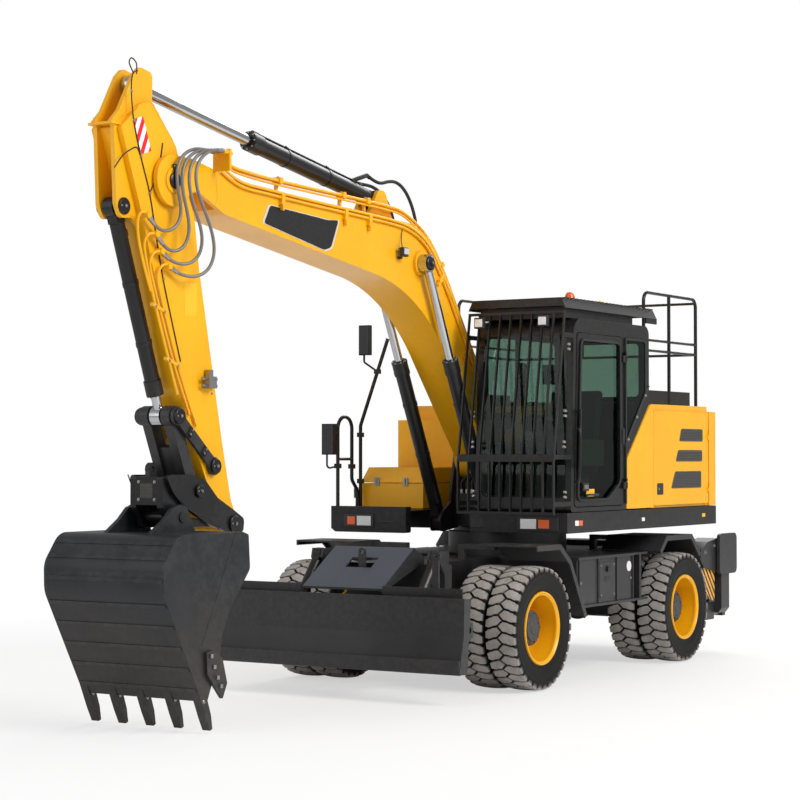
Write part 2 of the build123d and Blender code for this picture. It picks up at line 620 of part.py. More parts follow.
def make_turntable():
    back, front = DECK_X
    ram_out = BOOM_RAM_Y + BOOM_RAM["eye"] + SIDE_CLEAR
    bay_half = BOOM_RAM_Y + BOOM_RAM["barrel"] + SIDE_CLEAR
    bay = (BOOM_Y - bay_half, BOOM_Y + bay_half)
    inner = (BOOM_HALF + SIDE_CLEAR, BOOM_HALF + SIDE_CLEAR + BRACKET)
    outer = (ram_out, ram_out + 14)
    deck_z = (SKIRT_Z[1] - DECK_SHEET, SKIRT_Z[1])
    with BuildPart() as turntable:
        slab((back, BAY_FRONT_X), (-BODY_HALF, BODY_HALF), deck_z)
        slab((BAY_FRONT_X, front), (-BODY_HALF, bay[0]), deck_z)
        slab((BAY_FRONT_X, front), (bay[1], BODY_HALF), deck_z)
        for y in mirrored((BODY_HALF - SKIRT_WALL, BODY_HALF)):
            slab((back, front), y, SKIRT_Z)
        for y in ((-BODY_HALF, bay[0]), (bay[1], BODY_HALF)):
            slab((BAY_FRONT_X - 20, BAY_FRONT_X), y, SKIRT_Z)
        slab((front - 90, front), (bay[1], BODY_HALF), SKIRT_Z)
        fascia = [(-BODY_HALF, FASCIA_TOP), (bay[0], FASCIA_TOP), (bay[0], 1293), (-BODY_HALF, 1293)]
        end_shape(fascia, (front - 90, front), radius=(0, 0, 20, 65))
        tail_block(back, BODY_HALF, SKIRT_Z)
        slab((back, BAY_FRONT_X), (-430, 430), (1345, 1365))
        for y in mirrored((300, 340)):
            slab((back, BAY_FRONT_X), y, (1345, SKIRT_Z[1]))
        slab((BAY_FRONT_X - 20, BAY_FRONT_X), (-430, 430), (1345, SKIRT_Z[1]))
        bar_z((RING_X, 0), RING_R - 50, (RING_TOP + RING_GAP, 1346))
        bar_z((RING_X, 0), RING_R - 200, (RING_TOP + RING_GAP, 1346), mode=Mode.SUBTRACT)
        # brackets for the boom's foot and its cylinders
        for y in beside(BOOM_Y, inner):
            side_shape(
                [
                    (-560, 1500), (60, 2110), (325, 2110), (415, 1720), (432, 1570), (590, 1480),
                    (640, 1400), (600, 1296), (300, 1330), (300, 1500),
                ],
                y, radius=(0, 60, 60, 80, 30, 40, 60, 40, 0, 0),
            )
        for y in beside(BOOM_Y, outer):
            side_shape(
                [(330, 1500), (330, 1330), (430, 1300), (590, 1300), (620, 1400), (570, 1500)], y,
                radius=(0, 0, 20, 40, 40, 20),
            )
        for y in beside(BOOM_Y, (inner[0], outer[1])):
            pin(BOOM_RAM_BASE, BOOM_RAM["pin"], y)
            slab((BAY_FRONT_X - 20, BAY_FRONT_X), y, (1330, SKIRT_Z[1]))
        pin(BOOM_PIN, BOOM_PIN_R, (BOOM_Y - inner[1], BOOM_Y + inner[1]))
    save(turntable, "turntable")


def make_counterweight():
    with BuildPart() as counterweight:
        tail_block(HOOD_X[0] - DOOR_GAP, BODY_HALF - 5, (FLOOR, HOOD_TOP - 50))
    save(counterweight, "counterweight")


def make_hood():
    x0, x1 = HOOD_X
    half = HOOD_HALF
    with BuildPart() as hood:
        slab((x0, x1), (-half, half), (HOOD_TOP - SHEET, HOOD_TOP))
        slab((x1 - SHEET, x1), (-half, half), (FLOOR, HOOD_TOP))
        slab((x0, x0 + SHEET), (-half, half), (FLOOR, HOOD_TOP))
        for y in mirrored((half - 50, half)):
            slab((x0, x0 + 40), y, (FLOOR, HOOD_TOP))
            slab((x1 - 40, x1), y, (FLOOR, HOOD_TOP))
            slab((x0, x1), y, (HOOD_TOP - 70, HOOD_TOP))
            slab((x0, x1), y, (FLOOR, FLOOR + 30))
        hinge_x, hinge_y = HOOD_HINGE
        for y in mirrored((half - 7, hinge_y)):
            for z in (1692, 2212):
                slab((hinge_x - 6, hinge_x + 2), y, (z, z + 46))
        for side in (1, -1):
            for z in (1692, 2212):
                bar_z((hinge_x, side * hinge_y), KNUCKLE_R, (z, z + 46))
    save(hood, "engine_hood")
    with BuildPart() as engine:
        slab((-1950, -1000), (-480, 480), (FLOOR, 2250))
    save(engine, "engine")
    for side, name in ((1, "left_hood_door"), (-1, "right_hood_door")):
        y = sorted((side * (half + DOOR_GAP), side * (half + DOOR_GAP + DOOR_SHEET)))
        with BuildPart() as door:
            side_shape([(x1 - 8, 1530), (x1 - 8, 2430), (x0 + 25, 2430), (x0 + 25, 1530)], y, radius=30)
            strap_y = sorted((side * (hinge_y - 16), side * (hinge_y + KNUCKLE_R)))
            for z in (1640, 2160):
                bar_z((hinge_x, side * hinge_y), KNUCKLE_R, (z, z + 46))
                slab((hinge_x, hinge_x + 40), strap_y, (z, z + 46))
        save(door, name)
    with BuildPart() as panel:
        side_shape([(-185, 1512), (-185, 1965), (-690, 2478), (x1 + 4, 2478), (x1 + 4, 1512)],
            (BODY_HALF - 44, BODY_HALF))
    save(panel, "left_front_panel")


def make_tank():
    with BuildPart() as tank:
        slab(TANK_X, TANK_Y, (FLOOR, TANK_TOP))
        slab((-640, -260), (TANK_Y[0] + 90, TANK_Y[1] - 100), (TANK_TOP, HOOD_TOP))
        bar_z((-205, TANK_Y[0] + 110), 38, (TANK_TOP, 2545))
    save(tank, "tank")


def make_tool_box():
    back, front = TOOL_X
    floor, split, top = TOOL_Z
    sheet = SHEET
    inside_y = (TOOL_Y[0] + sheet, TOOL_Y[1] - sheet)
    with BuildPart() as box:
        slab(TOOL_X, TOOL_Y, (floor, split))
        slab((back + sheet, front - sheet), inside_y, (floor + sheet, split), mode=Mode.SUBTRACT)
    save(box, "tool_box")
    with BuildPart() as lid:
        low = split + SIDE_CLEAR
        side_shape([(back, low), (back, top), (380, top), (front, low)], TOOL_Y, radius=(0, LID_ROUND, 0, 0))
        under = top - sheet
        inner = [(back + sheet, low), (back + sheet, under), (375, under), (front - 2 * sheet, low)]
        side_shape(inner, inside_y, mode=Mode.SUBTRACT)
    save(lid, "tool_box_lid")


# ---------------------------------------------------------------- cab
def windscreen_plane():
    """The plane of the cab's leaning front, with its origin at the floor and Y to the right."""
    (x0, z0), (x1, z1) = CAB_FRONT
    return Plane(origin=(x0, 0, z0), x_dir=(0, 1, 0), z_dir=(z1 - z0, 0, x0 - x1))


def windscreen(depth, grow, mode=Mode.ADD):
    """The windscreen's outline, from one depth behind the cab's front to another."""
    width = CAB_Y[1] - CAB_Y[0] - 150
    with BuildSketch(windscreen_plane().offset(-depth[1])) as pane:
        with Locations(((CAB_Y[0] + CAB_Y[1]) / 2, 845)):
            RectangleRounded(width + 2 * grow, 1410 + 2 * grow, 50 + grow)
    extrude(pane.sketch, amount=depth[1] - depth[0], mode=mode)


def rear_window(x, grow, mode=Mode.ADD):
    middle = (CAB_Y[0] + CAB_Y[1]) / 2
    with BuildSketch(Plane.YZ.offset(x[0])) as pane:
        with Locations((middle, 2810)):
            RectangleRounded(CAB_Y[1] - CAB_Y[0] - 180 + 2 * grow, 500 + 2 * grow, 40 + grow)
    extrude(pane.sketch, amount=x[1] - x[0], mode=mode)


def make_cab():
    right, left = CAB_Y
    wall = CAB_WALL
    with BuildPart() as cab:
        side_shape(CAB_SIDE, CAB_Y, radius=(30, 140, 90, 20, 40, 10))
        side_shape(
            CAB_SIDE, (right + wall, left - wall), radius=(30, 140, 90, 20, 40, 10), grow=-wall,
            mode=Mode.SUBTRACT,
        )
        windscreen((0, 100), 0, mode=Mode.SUBTRACT)
        windscreen((0, GLASS), REBATE, mode=Mode.SUBTRACT)
        rear_window((-690, -600), 0, mode=Mode.SUBTRACT)
        rear_window((-680, -680 + GLASS), REBATE, mode=Mode.SUBTRACT)
        side_shape(RIGHT_WINDOW, (right, right + wall), radius=60, mode=Mode.SUBTRACT)
        side_shape(RIGHT_WINDOW, (right, right + GLASS), radius=60, grow=REBATE, mode=Mode.SUBTRACT)
        side_shape(LEFT_WINDOW, (left - wall, left), radius=40, mode=Mode.SUBTRACT)
        side_shape(LEFT_WINDOW, (left - GLASS, left), radius=40, grow=REBATE, mode=Mode.SUBTRACT)
        side_shape(DOORWAY, (left - wall, left), radius=50, mode=Mode.SUBTRACT)
        x, y = DOOR_HINGE
        for z in (1766, 2926):
            bar_z((x, y), DOOR_KNUCKLE_R, (z, z + 26))
            slab((x - 10, x + 10), (left - 5, y), (z, z + 26))
    save(cab, "cab_frame")
    with BuildPart() as panes:
        windscreen((0, GLASS), REBATE - 1)
        rear_window((-680, -680 + GLASS), REBATE - 1)
        side_shape(RIGHT_WINDOW, (right, right + GLASS), radius=60, grow=REBATE - 1)
        side_shape(LEFT_WINDOW, (left - GLASS, left), radius=40, grow=REBATE - 1)
    save(panes, "cab_glass")
    inside = left - 36
    with BuildPart() as door:
        side_shape(DOORWAY, (inside, left + 4), radius=50, grow=-8)
        side_shape(DOOR_WINDOW, (inside, left + 4), radius=50, mode=Mode.SUBTRACT)
        side_shape(DOOR_WINDOW, (inside, inside + 20), radius=50, grow=REBATE, mode=Mode.SUBTRACT)
        for z in (1700, 2860):
            bar_z((x, y), DOOR_KNUCKLE_R, (z, z + 60))
            slab((x, -60), (left + 12, left + 34), (z, z + 60))
            slab((-96, -60), (left + 4, left + 12), (z, z + 60))
        slab((824, 840), (left + 4, left + 30), (1900, 1925))
        slab((803, 819), (left + 4, left + 30), (2375, 2400))
        side_shape([(820, 1890), (844, 1890), (822, 2410), (798, 2410)], (left + 28, left + 44))
    save(door, "cab_door")
    with BuildPart() as glass:
        side_shape(DOOR_WINDOW, (inside + 14, inside + 20), radius=50, grow=REBATE - 1)
    save(glass, "door_glass")


def make_cab_inside():
    floor = FLOOR + CAB_WALL
    middle = (CAB_Y[0] + CAB_Y[1]) / 2
    with BuildPart() as seat:
        slab((20, 320), (middle - 200, middle + 200), (floor, floor + 310))
        slab((-60, 420), (middle - 250, middle + 250), (floor + 300, floor + 430))
        side_shape([(-60, floor + 330), (-190, floor + 1040), (-90, floor + 1060), (60, floor + 400)],
                   (middle - 240, middle + 240), radius=30)
        for y in beside(middle, (245, 345)):
            slab((0, 440), y, (floor + 360, floor + 600))
    save(seat, "seat")
    with BuildPart() as column:
        post = [(660, floor), (560, floor + 690), (610, floor + 700), (760, floor)]
        side_shape(post, (middle - 50, middle + 50))
        wheel_plane = Plane(origin=(572, middle, floor + 720), x_dir=(0, 1, 0), z_dir=(-0.45, 0, 0.89))
        with BuildSketch(wheel_plane):
            Circle(190)
        extrude(amount=24)
        with BuildSketch(wheel_plane.offset(-60)):
            Circle(28)
        extrude(amount=70)
    save(column, "steering_column")


def cab_front_x(z):
    """Where the cab's leaning front stands at a given height."""
    (x0, z0), (x1, z1) = CAB_FRONT
    return x0 + (x1 - x0) * (z - z0) / (z1 - z0)


def make_guard():
    right, left = CAB_Y
    bars = 10
    pitch = (left - right - 12) / (bars - 1)
    with BuildPart() as guard:
        for top, bottom in (((1045, 3275), (1252, 1990)), ((1262, 1972), (1262, 1488))):
            face = [top, (top[0] - 30, top[1]), (bottom[0] - 30, bottom[1]), bottom]
            for i in range(bars):
                side_shape(face, (right + i * pitch, right + i * pitch + 12))
            for z in (top[1] - 12, bottom[1] + 12):
                x = bottom[0] + (top[0] - bottom[0]) * (z - bottom[1]) / (top[1] - bottom[1])
                slab((x - 30, x), CAB_Y, (z - 12, z + 12))
        slab((1222, 1252), CAB_Y, (1960, 2002))
        for y in ((right, right + 12), (left - 12, left)):
            for z, x in ((3040, 1050), (1970, 1230), (1560, 1240)):
                side_shape([(cab_front_x(z), z), (cab_front_x(z + 40), z + 40), (x, z + 40), (x, z)], y)
    save(guard, "front_guard")


def make_visor():
    """The moulded roof cover: a shell open below, closed at both ends and deeper behind."""
    low, high = 240.0, BODY_HALF - 15
    shell = [
        (low, 3300), (low + 22, 3300), (low + 60, 3378), (high - 60, 3378), (high - 22, 3300), (high, 3300),
        (high - 45, 3392), (low + 45, 3392),
    ]
    end = [(low + 9, 3318), (high - 9, 3318), (high - 45, 3392), (low + 45, 3392)]
    with BuildPart() as visor:
        end_shape(shell, (-880, 1000))
        end_shape(end, (985, 1000))
        end_shape(end, (-880, -868))
        for y in ((low, low + 14), (high - 14, high)):
            slab((-880, -640), y, (3250, 3305))
        for x in (600, -500):
            for post in ((low + 90, low + 130), (high - 160, high - 120)):
                slab((x, x + 40), post, (CAB_ROOF, 3385))
    save(visor, "roof_visor")


def make_lamps():
    with BuildPart() as lamps:
        bar_z((290, 900), 50, (3392, 3410))
        bar_z((290, 900), 36, (3410, 3465))
        for y in (413, 1053):
            slab((1072, 1118), (y - 45, y + 45), (3140, 3225))
        for y in ((-1090, -780), (880, 1150)):
            slab((DECK_X[1], DECK_X[1] + 12), y, (1365, 1445))
    save(lamps, "lamps")


def make_rails():
    top, crown = HOOD_TOP, 3580.0
    with BuildPart() as rails:
        rail_y = BODY_HALF - 210
        for y in (rail_y, -rail_y):
            bent_tube([(-1000, y, top), (-1000, y, crown), (-2225, y, crown), (-2225, y, top)], RAIL_R, 90)
            for z in (3020, 3120):
                bar_x((y, z), RAIL_R - 3, (-2225, -1000))
            bar_z((-1580, y), RAIL_R, (top, crown))
            slab((-2070, -900), (y - 4, y + 4), (top, top + 145))
        for z in (3020, 3540):
            pin((-2225, z), RAIL_R - 3, (-rail_y, rail_y))
    save(rails, "roof_rails")
    y = 35 - BODY_HALF
    floor = SKIRT_Z[1]
    rail = [(950, FASCIA_TOP), (950, 2367), (711, 2367), (711, 1773), (616, 1675), (616, floor)]
    with BuildPart() as hoop:
        bent_tube([(x, y, z) for x, z in rail], RAIL_R, [115, 115, 60, 60])
        bar_x((y, 1970), RAIL_R - 3, (711, 950))
        bent_tube([(950, y, 1905), (1043, y - 60, 1880), (1043, y - 60, 2020)], 9, 30)
        slab((1020, 1065), (y - 105, y + 35), (2010, 2300))
    save(hoop, "step_rail")


def make_mirrors():
    foot, bend, head = (575, -1195, SKIRT_Z[1]), (575, -1195, 2287), (600, -870, 3110)
    with BuildPart() as mirrors:
        bent_tube([foot, bend, head], RAIL_R, 80)
        bent_tube([(591, -993, 2799), (620, -1125, 2890), (620, -1125, 3050)], 10, 30)
        slab((600, 645), (-1170, -1050), (2955, 3240))
    save(mirrors, "right_mirror")


# ---------------------------------------------------------------- boom, arm and bucket
def hollow(points, radius, y, solid_discs, limit=None):
    """Empty an outline but for its plate, a disc round each pin and what lies ahead of a limit in X."""
    with BuildSketch(Plane.XZ.offset(-y[0] - PLATE)) as inside:
        with BuildLine():
            FilletPolyline(*points, radius=radius, close=True)
        make_face()
        offset(amount=-PLATE)
        for centre, disc in solid_discs:
            with Locations(centre):
                Circle(disc, mode=Mode.SUBTRACT)
        if limit:
            with Locations((limit + 1000, 4000)):
                Rectangle(2000, 2000, mode=Mode.SUBTRACT)
    extrude(inside.sketch, amount=y[0] - y[1] + 2 * PLATE, mode=Mode.SUBTRACT)


def make_boom():
    body_y = (BOOM_Y - BOOM_HALF, BOOM_Y + BOOM_HALF)
    nose_x, nose_z = ARM_PIN
    outline = [
        (58, 2078), (1480, 4020), (4290, 4108), (4890, 4216), (nose_x, nose_z + NOSE_R),
        (nose_x, nose_z - NOSE_R), (4830, 3985), (4479, 3839), (1640, 3445), (380, 2000), (300, 1915),
    ]
    radii = (0, 800, 900, 0, 0, 0, 60, 300, 1900, 0, 0)
    with BuildPart() as boom:
        side_shape(outline, body_y, radius=radii)
        pin(BOOM_PIN, FOOT_R, body_y)
        pin(ARM_PIN, NOSE_R, body_y)
        hollow(outline, radii, body_y, [(BOOM_PIN, FOOT_R + 10)], FORK_X - PLATE)
        gap = ARM_HALF + FORK_GAP
        slab((FORK_X, 5400), (BOOM_Y - gap, BOOM_Y + gap), (3600, 4400), mode=Mode.SUBTRACT)
        for y in beside(BOOM_Y, (BOOM_HALF - 5, BOOM_RAM_Y - BOOM_RAM["eye"] - SIDE_CLEAR)):
            pin(BOOM_RAM_TIP, 105, y)
        for y in beside(BOOM_Y, (BOOM_HALF - 5, BOOM_HALF + 12)):
            pin(ARM_PIN, 95, y)
        side = BOOM_Y + BOOM_HALF
        starts = [route[0] for route in HOSES.values()]
        last = starts[-1]
        slab((4600, 4625), (side - 5, last[1] + 20), (4150, last[2] + 24))
        for start in starts:
            bar_x((start[1], start[2]), FITTING_R, (4610, start[0] - HOSE_GAP))
        for name, route in RAM_HOSES.items():
            before, end = [(x, z) for x, _, z in route[-2:]]
            run = reach(before, end)
            knee = towards(before, end, run + FITTING)
            bar(towards(before, end, run + HOSE_GAP), knee, route[-1][1], RAM_FITTING_R)
            bar(knee, BOOM_PORTS[name], route[-1][1], RAM_FITTING_R)
        lug = (ARM_RAM["eye"] + SIDE_CLEAR, ARM_RAM["eye"] + SIDE_CLEAR + 34)
        for y in beside(BOOM_Y, lug):
            side_shape([(1900, 4010), (2040, 4290), (2145, 4290), (2330, 4020)], y, radius=(0, 60, 60, 0))
        pin(ARM_RAM_BASE, ARM_RAM["pin"], (BOOM_Y - lug[1], BOOM_Y + lug[1]))
        pin(ARM_PIN, ARM_PIN_R, body_y)
        pin(BOOM_PIN, BOOM_PIN_R + PIN_CLEAR, body_y, mode=Mode.SUBTRACT)
    save(boom, "boom")


def make_boom_rams():
    with BuildPart() as barrels:
        for side in (1, -1):
            ram_barrel(BOOM_RAM_BASE, BOOM_RAM_TIP, BOOM_Y + side * BOOM_RAM_Y, BOOM_RAM)
    save(barrels, "boom_barrels")
    with BuildPart() as rods:
        for side in (1, -1):
            ram_rod(BOOM_RAM_BASE, BOOM_RAM_TIP, BOOM_Y + side * BOOM_RAM_Y, BOOM_RAM)
    save(rods, "boom_rods")


def make_arm():
    body_y = (BOOM_Y - ARM_HALF, BOOM_Y + ARM_HALF)
    outline = [
        (5300, 4590), (5020, 4300), (4925, 4060), (4795, 3800), (4735, 3410), (4445, 2115), (4330, 1664),
        (4252, 1518), (4440, 1435), (4885, 2284), (5043, 2664), (5402, 3720), (5648, 4362), (5422, 4560),
    ]
    radii = (50, 100, 0, 200, 400, 0, 60, 0, 0, 300, 400, 0, 15, 60)
    head = [
        (5140, 4420), (5165, 4530), (5250, 4573), (5245, 4690), (5244, 4810), (5390, 4835), (5460, 4770),
        (5620, 4490), (5715, 4395), (5600, 4300),
    ]
    fork = [(5680, 4385), (5400, 4385), (5320, 3620), (5480, 3725), (5600, 3710), (5650, 3810)]
    gap = LUG_Y[0]
    with BuildPart() as arm:
        side_shape(outline, body_y, radius=radii)
        pin(COUPLER_PIN, TIP_R, body_y)
        hollow(outline, radii, body_y, [(COUPLER_PIN, TIP_R + 10), (SIDE_LINK_PIN, 80)])
        pin(ARM_PIN, ARM_BOSS_R, (body_y[0] - 6, body_y[1] + 6))
        for y in beside(BOOM_Y, LUG_Y):
            side_shape(head, y, radius=(0, 0, 0, 0, 45, 50, 60, 0, 20, 0))
            side_shape(fork, y, radius=(0, 0, 0, 40, 60, 40))
        # the notch that the ram's eye swings into, with its floor and its front wall
        slab((5100, NOTCH_FRONT), (BOOM_Y - gap, BOOM_Y + gap), NOTCH_Z, mode=Mode.SUBTRACT)
        low = NOTCH_Z[0] - PLATE
        notch_floor = [(5158, low), (5172, NOTCH_Z[0]), (NOTCH_FRONT, NOTCH_Z[0]), (NOTCH_FRONT, low)]
        side_shape(notch_floor, (BOOM_Y - gap, BOOM_Y + gap))
        slab((NOTCH_FRONT - 4, NOTCH_FRONT + 10), (BOOM_Y - gap, BOOM_Y + gap), (low, 4545))
        for y in beside(BOOM_Y, (ARM_HALF - 10, SIDE_LINK_Y[1] + 24)):
            pin(SIDE_LINK_PIN, 40, y)
        for y in beside(BOOM_Y, (ARM_HALF - 10, EAR_Y[1] + 4)):
            pin(COUPLER_PIN, COUPLER_PIN_R, y)
        slab((5400, 5720), (BOOM_Y - 110, BOOM_Y + 110), (4378, 4396))
        pin(BUCKET_RAM_BASE, BUCKET_RAM["pin"], (BOOM_Y - LUG_Y[1], BOOM_Y + LUG_Y[1]))
        for route in HOSES.values():
            before, end = [(x, z) for x, _, z in route[-2:]]
            run = reach(before, end)
            near = towards(before, end, run + HOSE_GAP)
            far = towards(before, end, run + FITTING)
            bar(near, far, route[-1][1], FITTING_R)
            pin(far, FITTING_R + 6, (body_y[1] - 5, route[-1][1] + FITTING_R))
        pin(ARM_PIN, ARM_PIN_R + PIN_CLEAR, (body_y[0] - 6, body_y[1] + 6), mode=Mode.SUBTRACT)
    save(arm, "arm")


def make_arm_rams():
    for base, tip, ram, name in (
        (ARM_RAM_BASE, ARM_RAM_TIP, ARM_RAM, "arm"),
        (BUCKET_RAM_BASE, LINK_PIN, BUCKET_RAM, "bucket"),
    ):
        with BuildPart() as barrel:
            ram_barrel(base, tip, BOOM_Y, ram)
            for hose, route in RAM_HOSES.items() if name == "arm" else ():
                start, after = [(x, z) for x, _, z in route[:2]]
                run = reach(after, start)
                knee = towards(after, start, run + FITTING)
                bar(towards(after, start, run + HOSE_GAP), knee, route[0][1], RAM_FITTING_R)
                bar(knee, RAM_PORTS[hose], route[0][1], RAM_FITTING_R)
        save(barrel, f"{name}_barrel")
        with BuildPart() as rod:
            ram_rod(base, tip, BOOM_Y, ram)
        save(rod, f"{name}_rod")


def make_hoses():
    sizes = [(HOSE_R, HOSES), (RAM_HOSE_R, RAM_HOSES)]
    for radius, name, route in [(size, *entry) for size, hoses in sizes for entry in hoses.items()]:
        points = [Vector(*point) for point in route]
        runs = [b - a for a, b in zip(points, points[1:])]
        bends = []
        for before, after in zip(runs, runs[1:]):
            turn = radians(before.get_angle(after))
            bends.append(0.45 * min(before.length, after.length) / tan(turn / 2))
        print(name, "bend radii", [round(bend) for bend in bends])
        with BuildPart() as hose:
            bent_tube(route, radius, bends)
        save(hose, name)


def make_links():
    eye = BUCKET_RAM["eye"] + SIDE_CLEAR
    with BuildPart() as side_links:
        for y in beside(BOOM_Y, SIDE_LINK_Y):
            side_shape(strip(SIDE_LINK_PIN, LINK_PIN, 90), y)
            for centre in (SIDE_LINK_PIN, LINK_PIN):
                pin(centre, 68, y)
            pin(SIDE_LINK_PIN, 40 + PIN_CLEAR, y, mode=Mode.SUBTRACT)
        for y in beside(BOOM_Y, (eye, SIDE_LINK_Y[1] + 24)):
            pin(LINK_PIN, LINK_PIN_R, y)
    save(side_links, "side_links")
    with BuildPart() as link:
        for y in beside(BOOM_Y, (eye + 10, ARM_HALF)):
            side_shape(strip(LINK_PIN, COUPLER_LINK_PIN, 110), y)
            for centre in (LINK_PIN, COUPLER_LINK_PIN):
                pin(centre, 78, y)
            pin(LINK_PIN, LINK_PIN_R + PIN_CLEAR, y, mode=Mode.SUBTRACT)
        low, high = (towards(LINK_PIN, COUPLER_LINK_PIN, at) for at in (240, 500))
        side_shape(strip(low, high, 60), (BOOM_Y - eye - 12, BOOM_Y + eye + 12))
    save(link, "bucket_link")


def make_coupler():
    ears = [
        (5170, 1863), (4850, 1861), (4694, 1812), (4551, 1685), (4340, 1585), (4212, 1520), (4222, 1410),
        (4400, 1420), (4640, 1480), (4896, 1596), (5079, 1722),
    ]
    hook = [
        (5178, 1850), (4960, 1850), (4915, 1560), (4960, 1470), (5080, 1462), (5110, 1540), (5178, 1620),
    ]
    inner = EAR_Y[0] - 2 * BRACKET
    with BuildPart() as coupler:
        for y in beside(BOOM_Y, EAR_Y):
            side_shape(ears, y, radius=(30, 60, 60, 60, 60, 40, 40, 60, 80, 100, 60))
            pin(COUPLER_PIN, COUPLER_PIN_R + PIN_CLEAR, y, mode=Mode.SUBTRACT)
        for y in beside(BOOM_Y, (inner, EAR_Y[0])):
            side_shape(hook, y, radius=(20, 20, 0, 30, 40, 30, 30))
        slab((5060, 5178), (BOOM_Y - inner, BOOM_Y + inner), (1640, 1850))
        for y in beside(BOOM_Y, (EAR_Y[0] - SIDE_CLEAR, EAR_Y[1] + 24)):
            pin(COUPLER_LINK_PIN, 40, y)
        slab((4600, 4990), (BOOM_Y - EAR_Y[0], BOOM_Y + EAR_Y[0]), (1470, 1530))
        pin(BUCKET_PIN, 40, (BOOM_Y - BUCKET_EAR_Y[1] - 10, BOOM_Y + BUCKET_EAR_Y[1] + 10))
        side_shape([(5075, 1845), (5085, 1905), (5165, 1905), (5175, 1845)], (BOOM_Y - 20, BOOM_Y + 20))
        pin((5125, 1905), 48, (BOOM_Y - 20, BOOM_Y + 20))
        pin((5125, 1905), 20, (BOOM_Y - 20, BOOM_Y + 20), mode=Mode.SUBTRACT)
    save(coupler, "coupler")


def make_bucket():
    low, high = BOOM_Y - BUCKET_HALF, BOOM_Y + BUCKET_HALF
    back = [(4735, 1429), (5500, 1429), (5660, 1220), (5655, 1020), (5220, 245)]
    cheek = [
        (4735, 1440), (5505, 1440), (5671, 1224), (5666, 1017), (5230, 238), (5160, 245), (5005, 584),
        (4988, 700), (4899, 875), (4737, 1060), (4646, 1164), (4665, 1420),
    ]
    ear = [(4880, 1440), (4935, 1540), (4990, 1630), (5070, 1645), (5150, 1620), (5240, 1540), (5400, 1440)]
    cutter = [(5125, 600), (5205, 590), (5195, 430), (5015, 235), (4958, 350), (5015, 535)]
    tooth = [(5284, 340), (5240, 345), (5165, 250), (5120, 130), (5103, 30), (5130, 20), (5186, 125)]
    with BuildPart() as bucket:
        with BuildSketch(Plane.XZ.offset(-low)):
            with BuildLine():
                FilletPolyline(*back, radius=(150, 150, 200))
            trace(line_width=BUCKET_SHELL)
        extrude(amount=low - high)
        for y in ((low, low + BUCKET_SHELL), (high - BUCKET_SHELL, high)):
            side_shape(cheek, y, radius=(0, 155, 155, 210, 0, 0, 60, 40, 80, 40, 60, 20))
        for y in beside(BOOM_Y, BUCKET_EAR_Y):
            side_shape(ear, y, radius=(0, 0, 40, 40, 40, 60, 0))
            pin(BUCKET_PIN, 40 + PIN_CLEAR, y, mode=Mode.SUBTRACT)
        for y in beside(BOOM_Y, (BUCKET_HALF, BUCKET_HALF + 24)):
            side_shape(cutter, y, radius=10)
        pitch = (2 * BUCKET_HALF - TOOTH_WIDTH) / (TEETH - 1)
        for i in range(TEETH):
            y = low + i * pitch
            side_shape(tooth, (y, y + TOOTH_WIDTH))
    save(bucket, "bucket")


os.makedirs("parts", exist_ok=True)
make_chassis()
make_fenders()
make_axle("front")
make_axle("rear")
make_knuckle(1, "left_knuckle")
make_knuckle(-1, "right_knuckle")
for end in ("front", "rear"):
    for side, hand in ((1, "left"), (-1, "right")):
        make_wheel(end, side, f"{end}_{hand}")
make_blade()
make_leg(1, "left_outrigger")
make_leg(-1, "right_outrigger")
make_turntable()
make_counterweight()
make_hood()
make_tank()
make_tool_box()
make_cab()
make_cab_inside()
make_guard()
make_visor()
make_lamps()
make_rails()
make_mirrors()
make_boom()
make_boom_rams()
make_arm()
make_arm_rams()
make_hoses()
make_links()
make_coupler()
make_bucket()
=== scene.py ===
"""Finishes and fits out a wheeled excavator around its fixed frame.

Every place is written in millimetres as on the machine's own drawing, where X = 0 lies midway between
the axles, and at() turns it into the frame's metres. +X is forward, +Y is the machine's left.
"""
import math

import bmesh
import bpy
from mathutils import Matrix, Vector


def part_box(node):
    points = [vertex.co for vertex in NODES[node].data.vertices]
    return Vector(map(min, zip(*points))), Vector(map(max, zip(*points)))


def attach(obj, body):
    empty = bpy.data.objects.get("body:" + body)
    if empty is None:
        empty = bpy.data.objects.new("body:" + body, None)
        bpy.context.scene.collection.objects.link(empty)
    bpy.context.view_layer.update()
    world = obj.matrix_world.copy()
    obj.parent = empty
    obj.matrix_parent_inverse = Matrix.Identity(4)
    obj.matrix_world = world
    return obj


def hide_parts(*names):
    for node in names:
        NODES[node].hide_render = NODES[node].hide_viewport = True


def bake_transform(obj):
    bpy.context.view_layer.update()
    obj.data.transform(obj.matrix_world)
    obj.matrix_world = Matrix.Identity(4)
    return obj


bl_info = {
    "name": "Wheeled excavator",
    "version": (1, 0, 0),
    "blender": (4, 5, 0),
    "location": "View3D > Sidebar > Excavator",
    "description": "Paints and fits out a wheeled excavator around its fixed frame",
    "category": "Object",
}

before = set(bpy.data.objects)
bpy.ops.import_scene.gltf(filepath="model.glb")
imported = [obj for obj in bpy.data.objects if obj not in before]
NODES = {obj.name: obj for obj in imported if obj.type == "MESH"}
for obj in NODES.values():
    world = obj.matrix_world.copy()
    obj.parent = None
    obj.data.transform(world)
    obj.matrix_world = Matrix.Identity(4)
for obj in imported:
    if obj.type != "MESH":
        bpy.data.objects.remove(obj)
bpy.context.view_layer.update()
ORIGIN_X = 1445.0


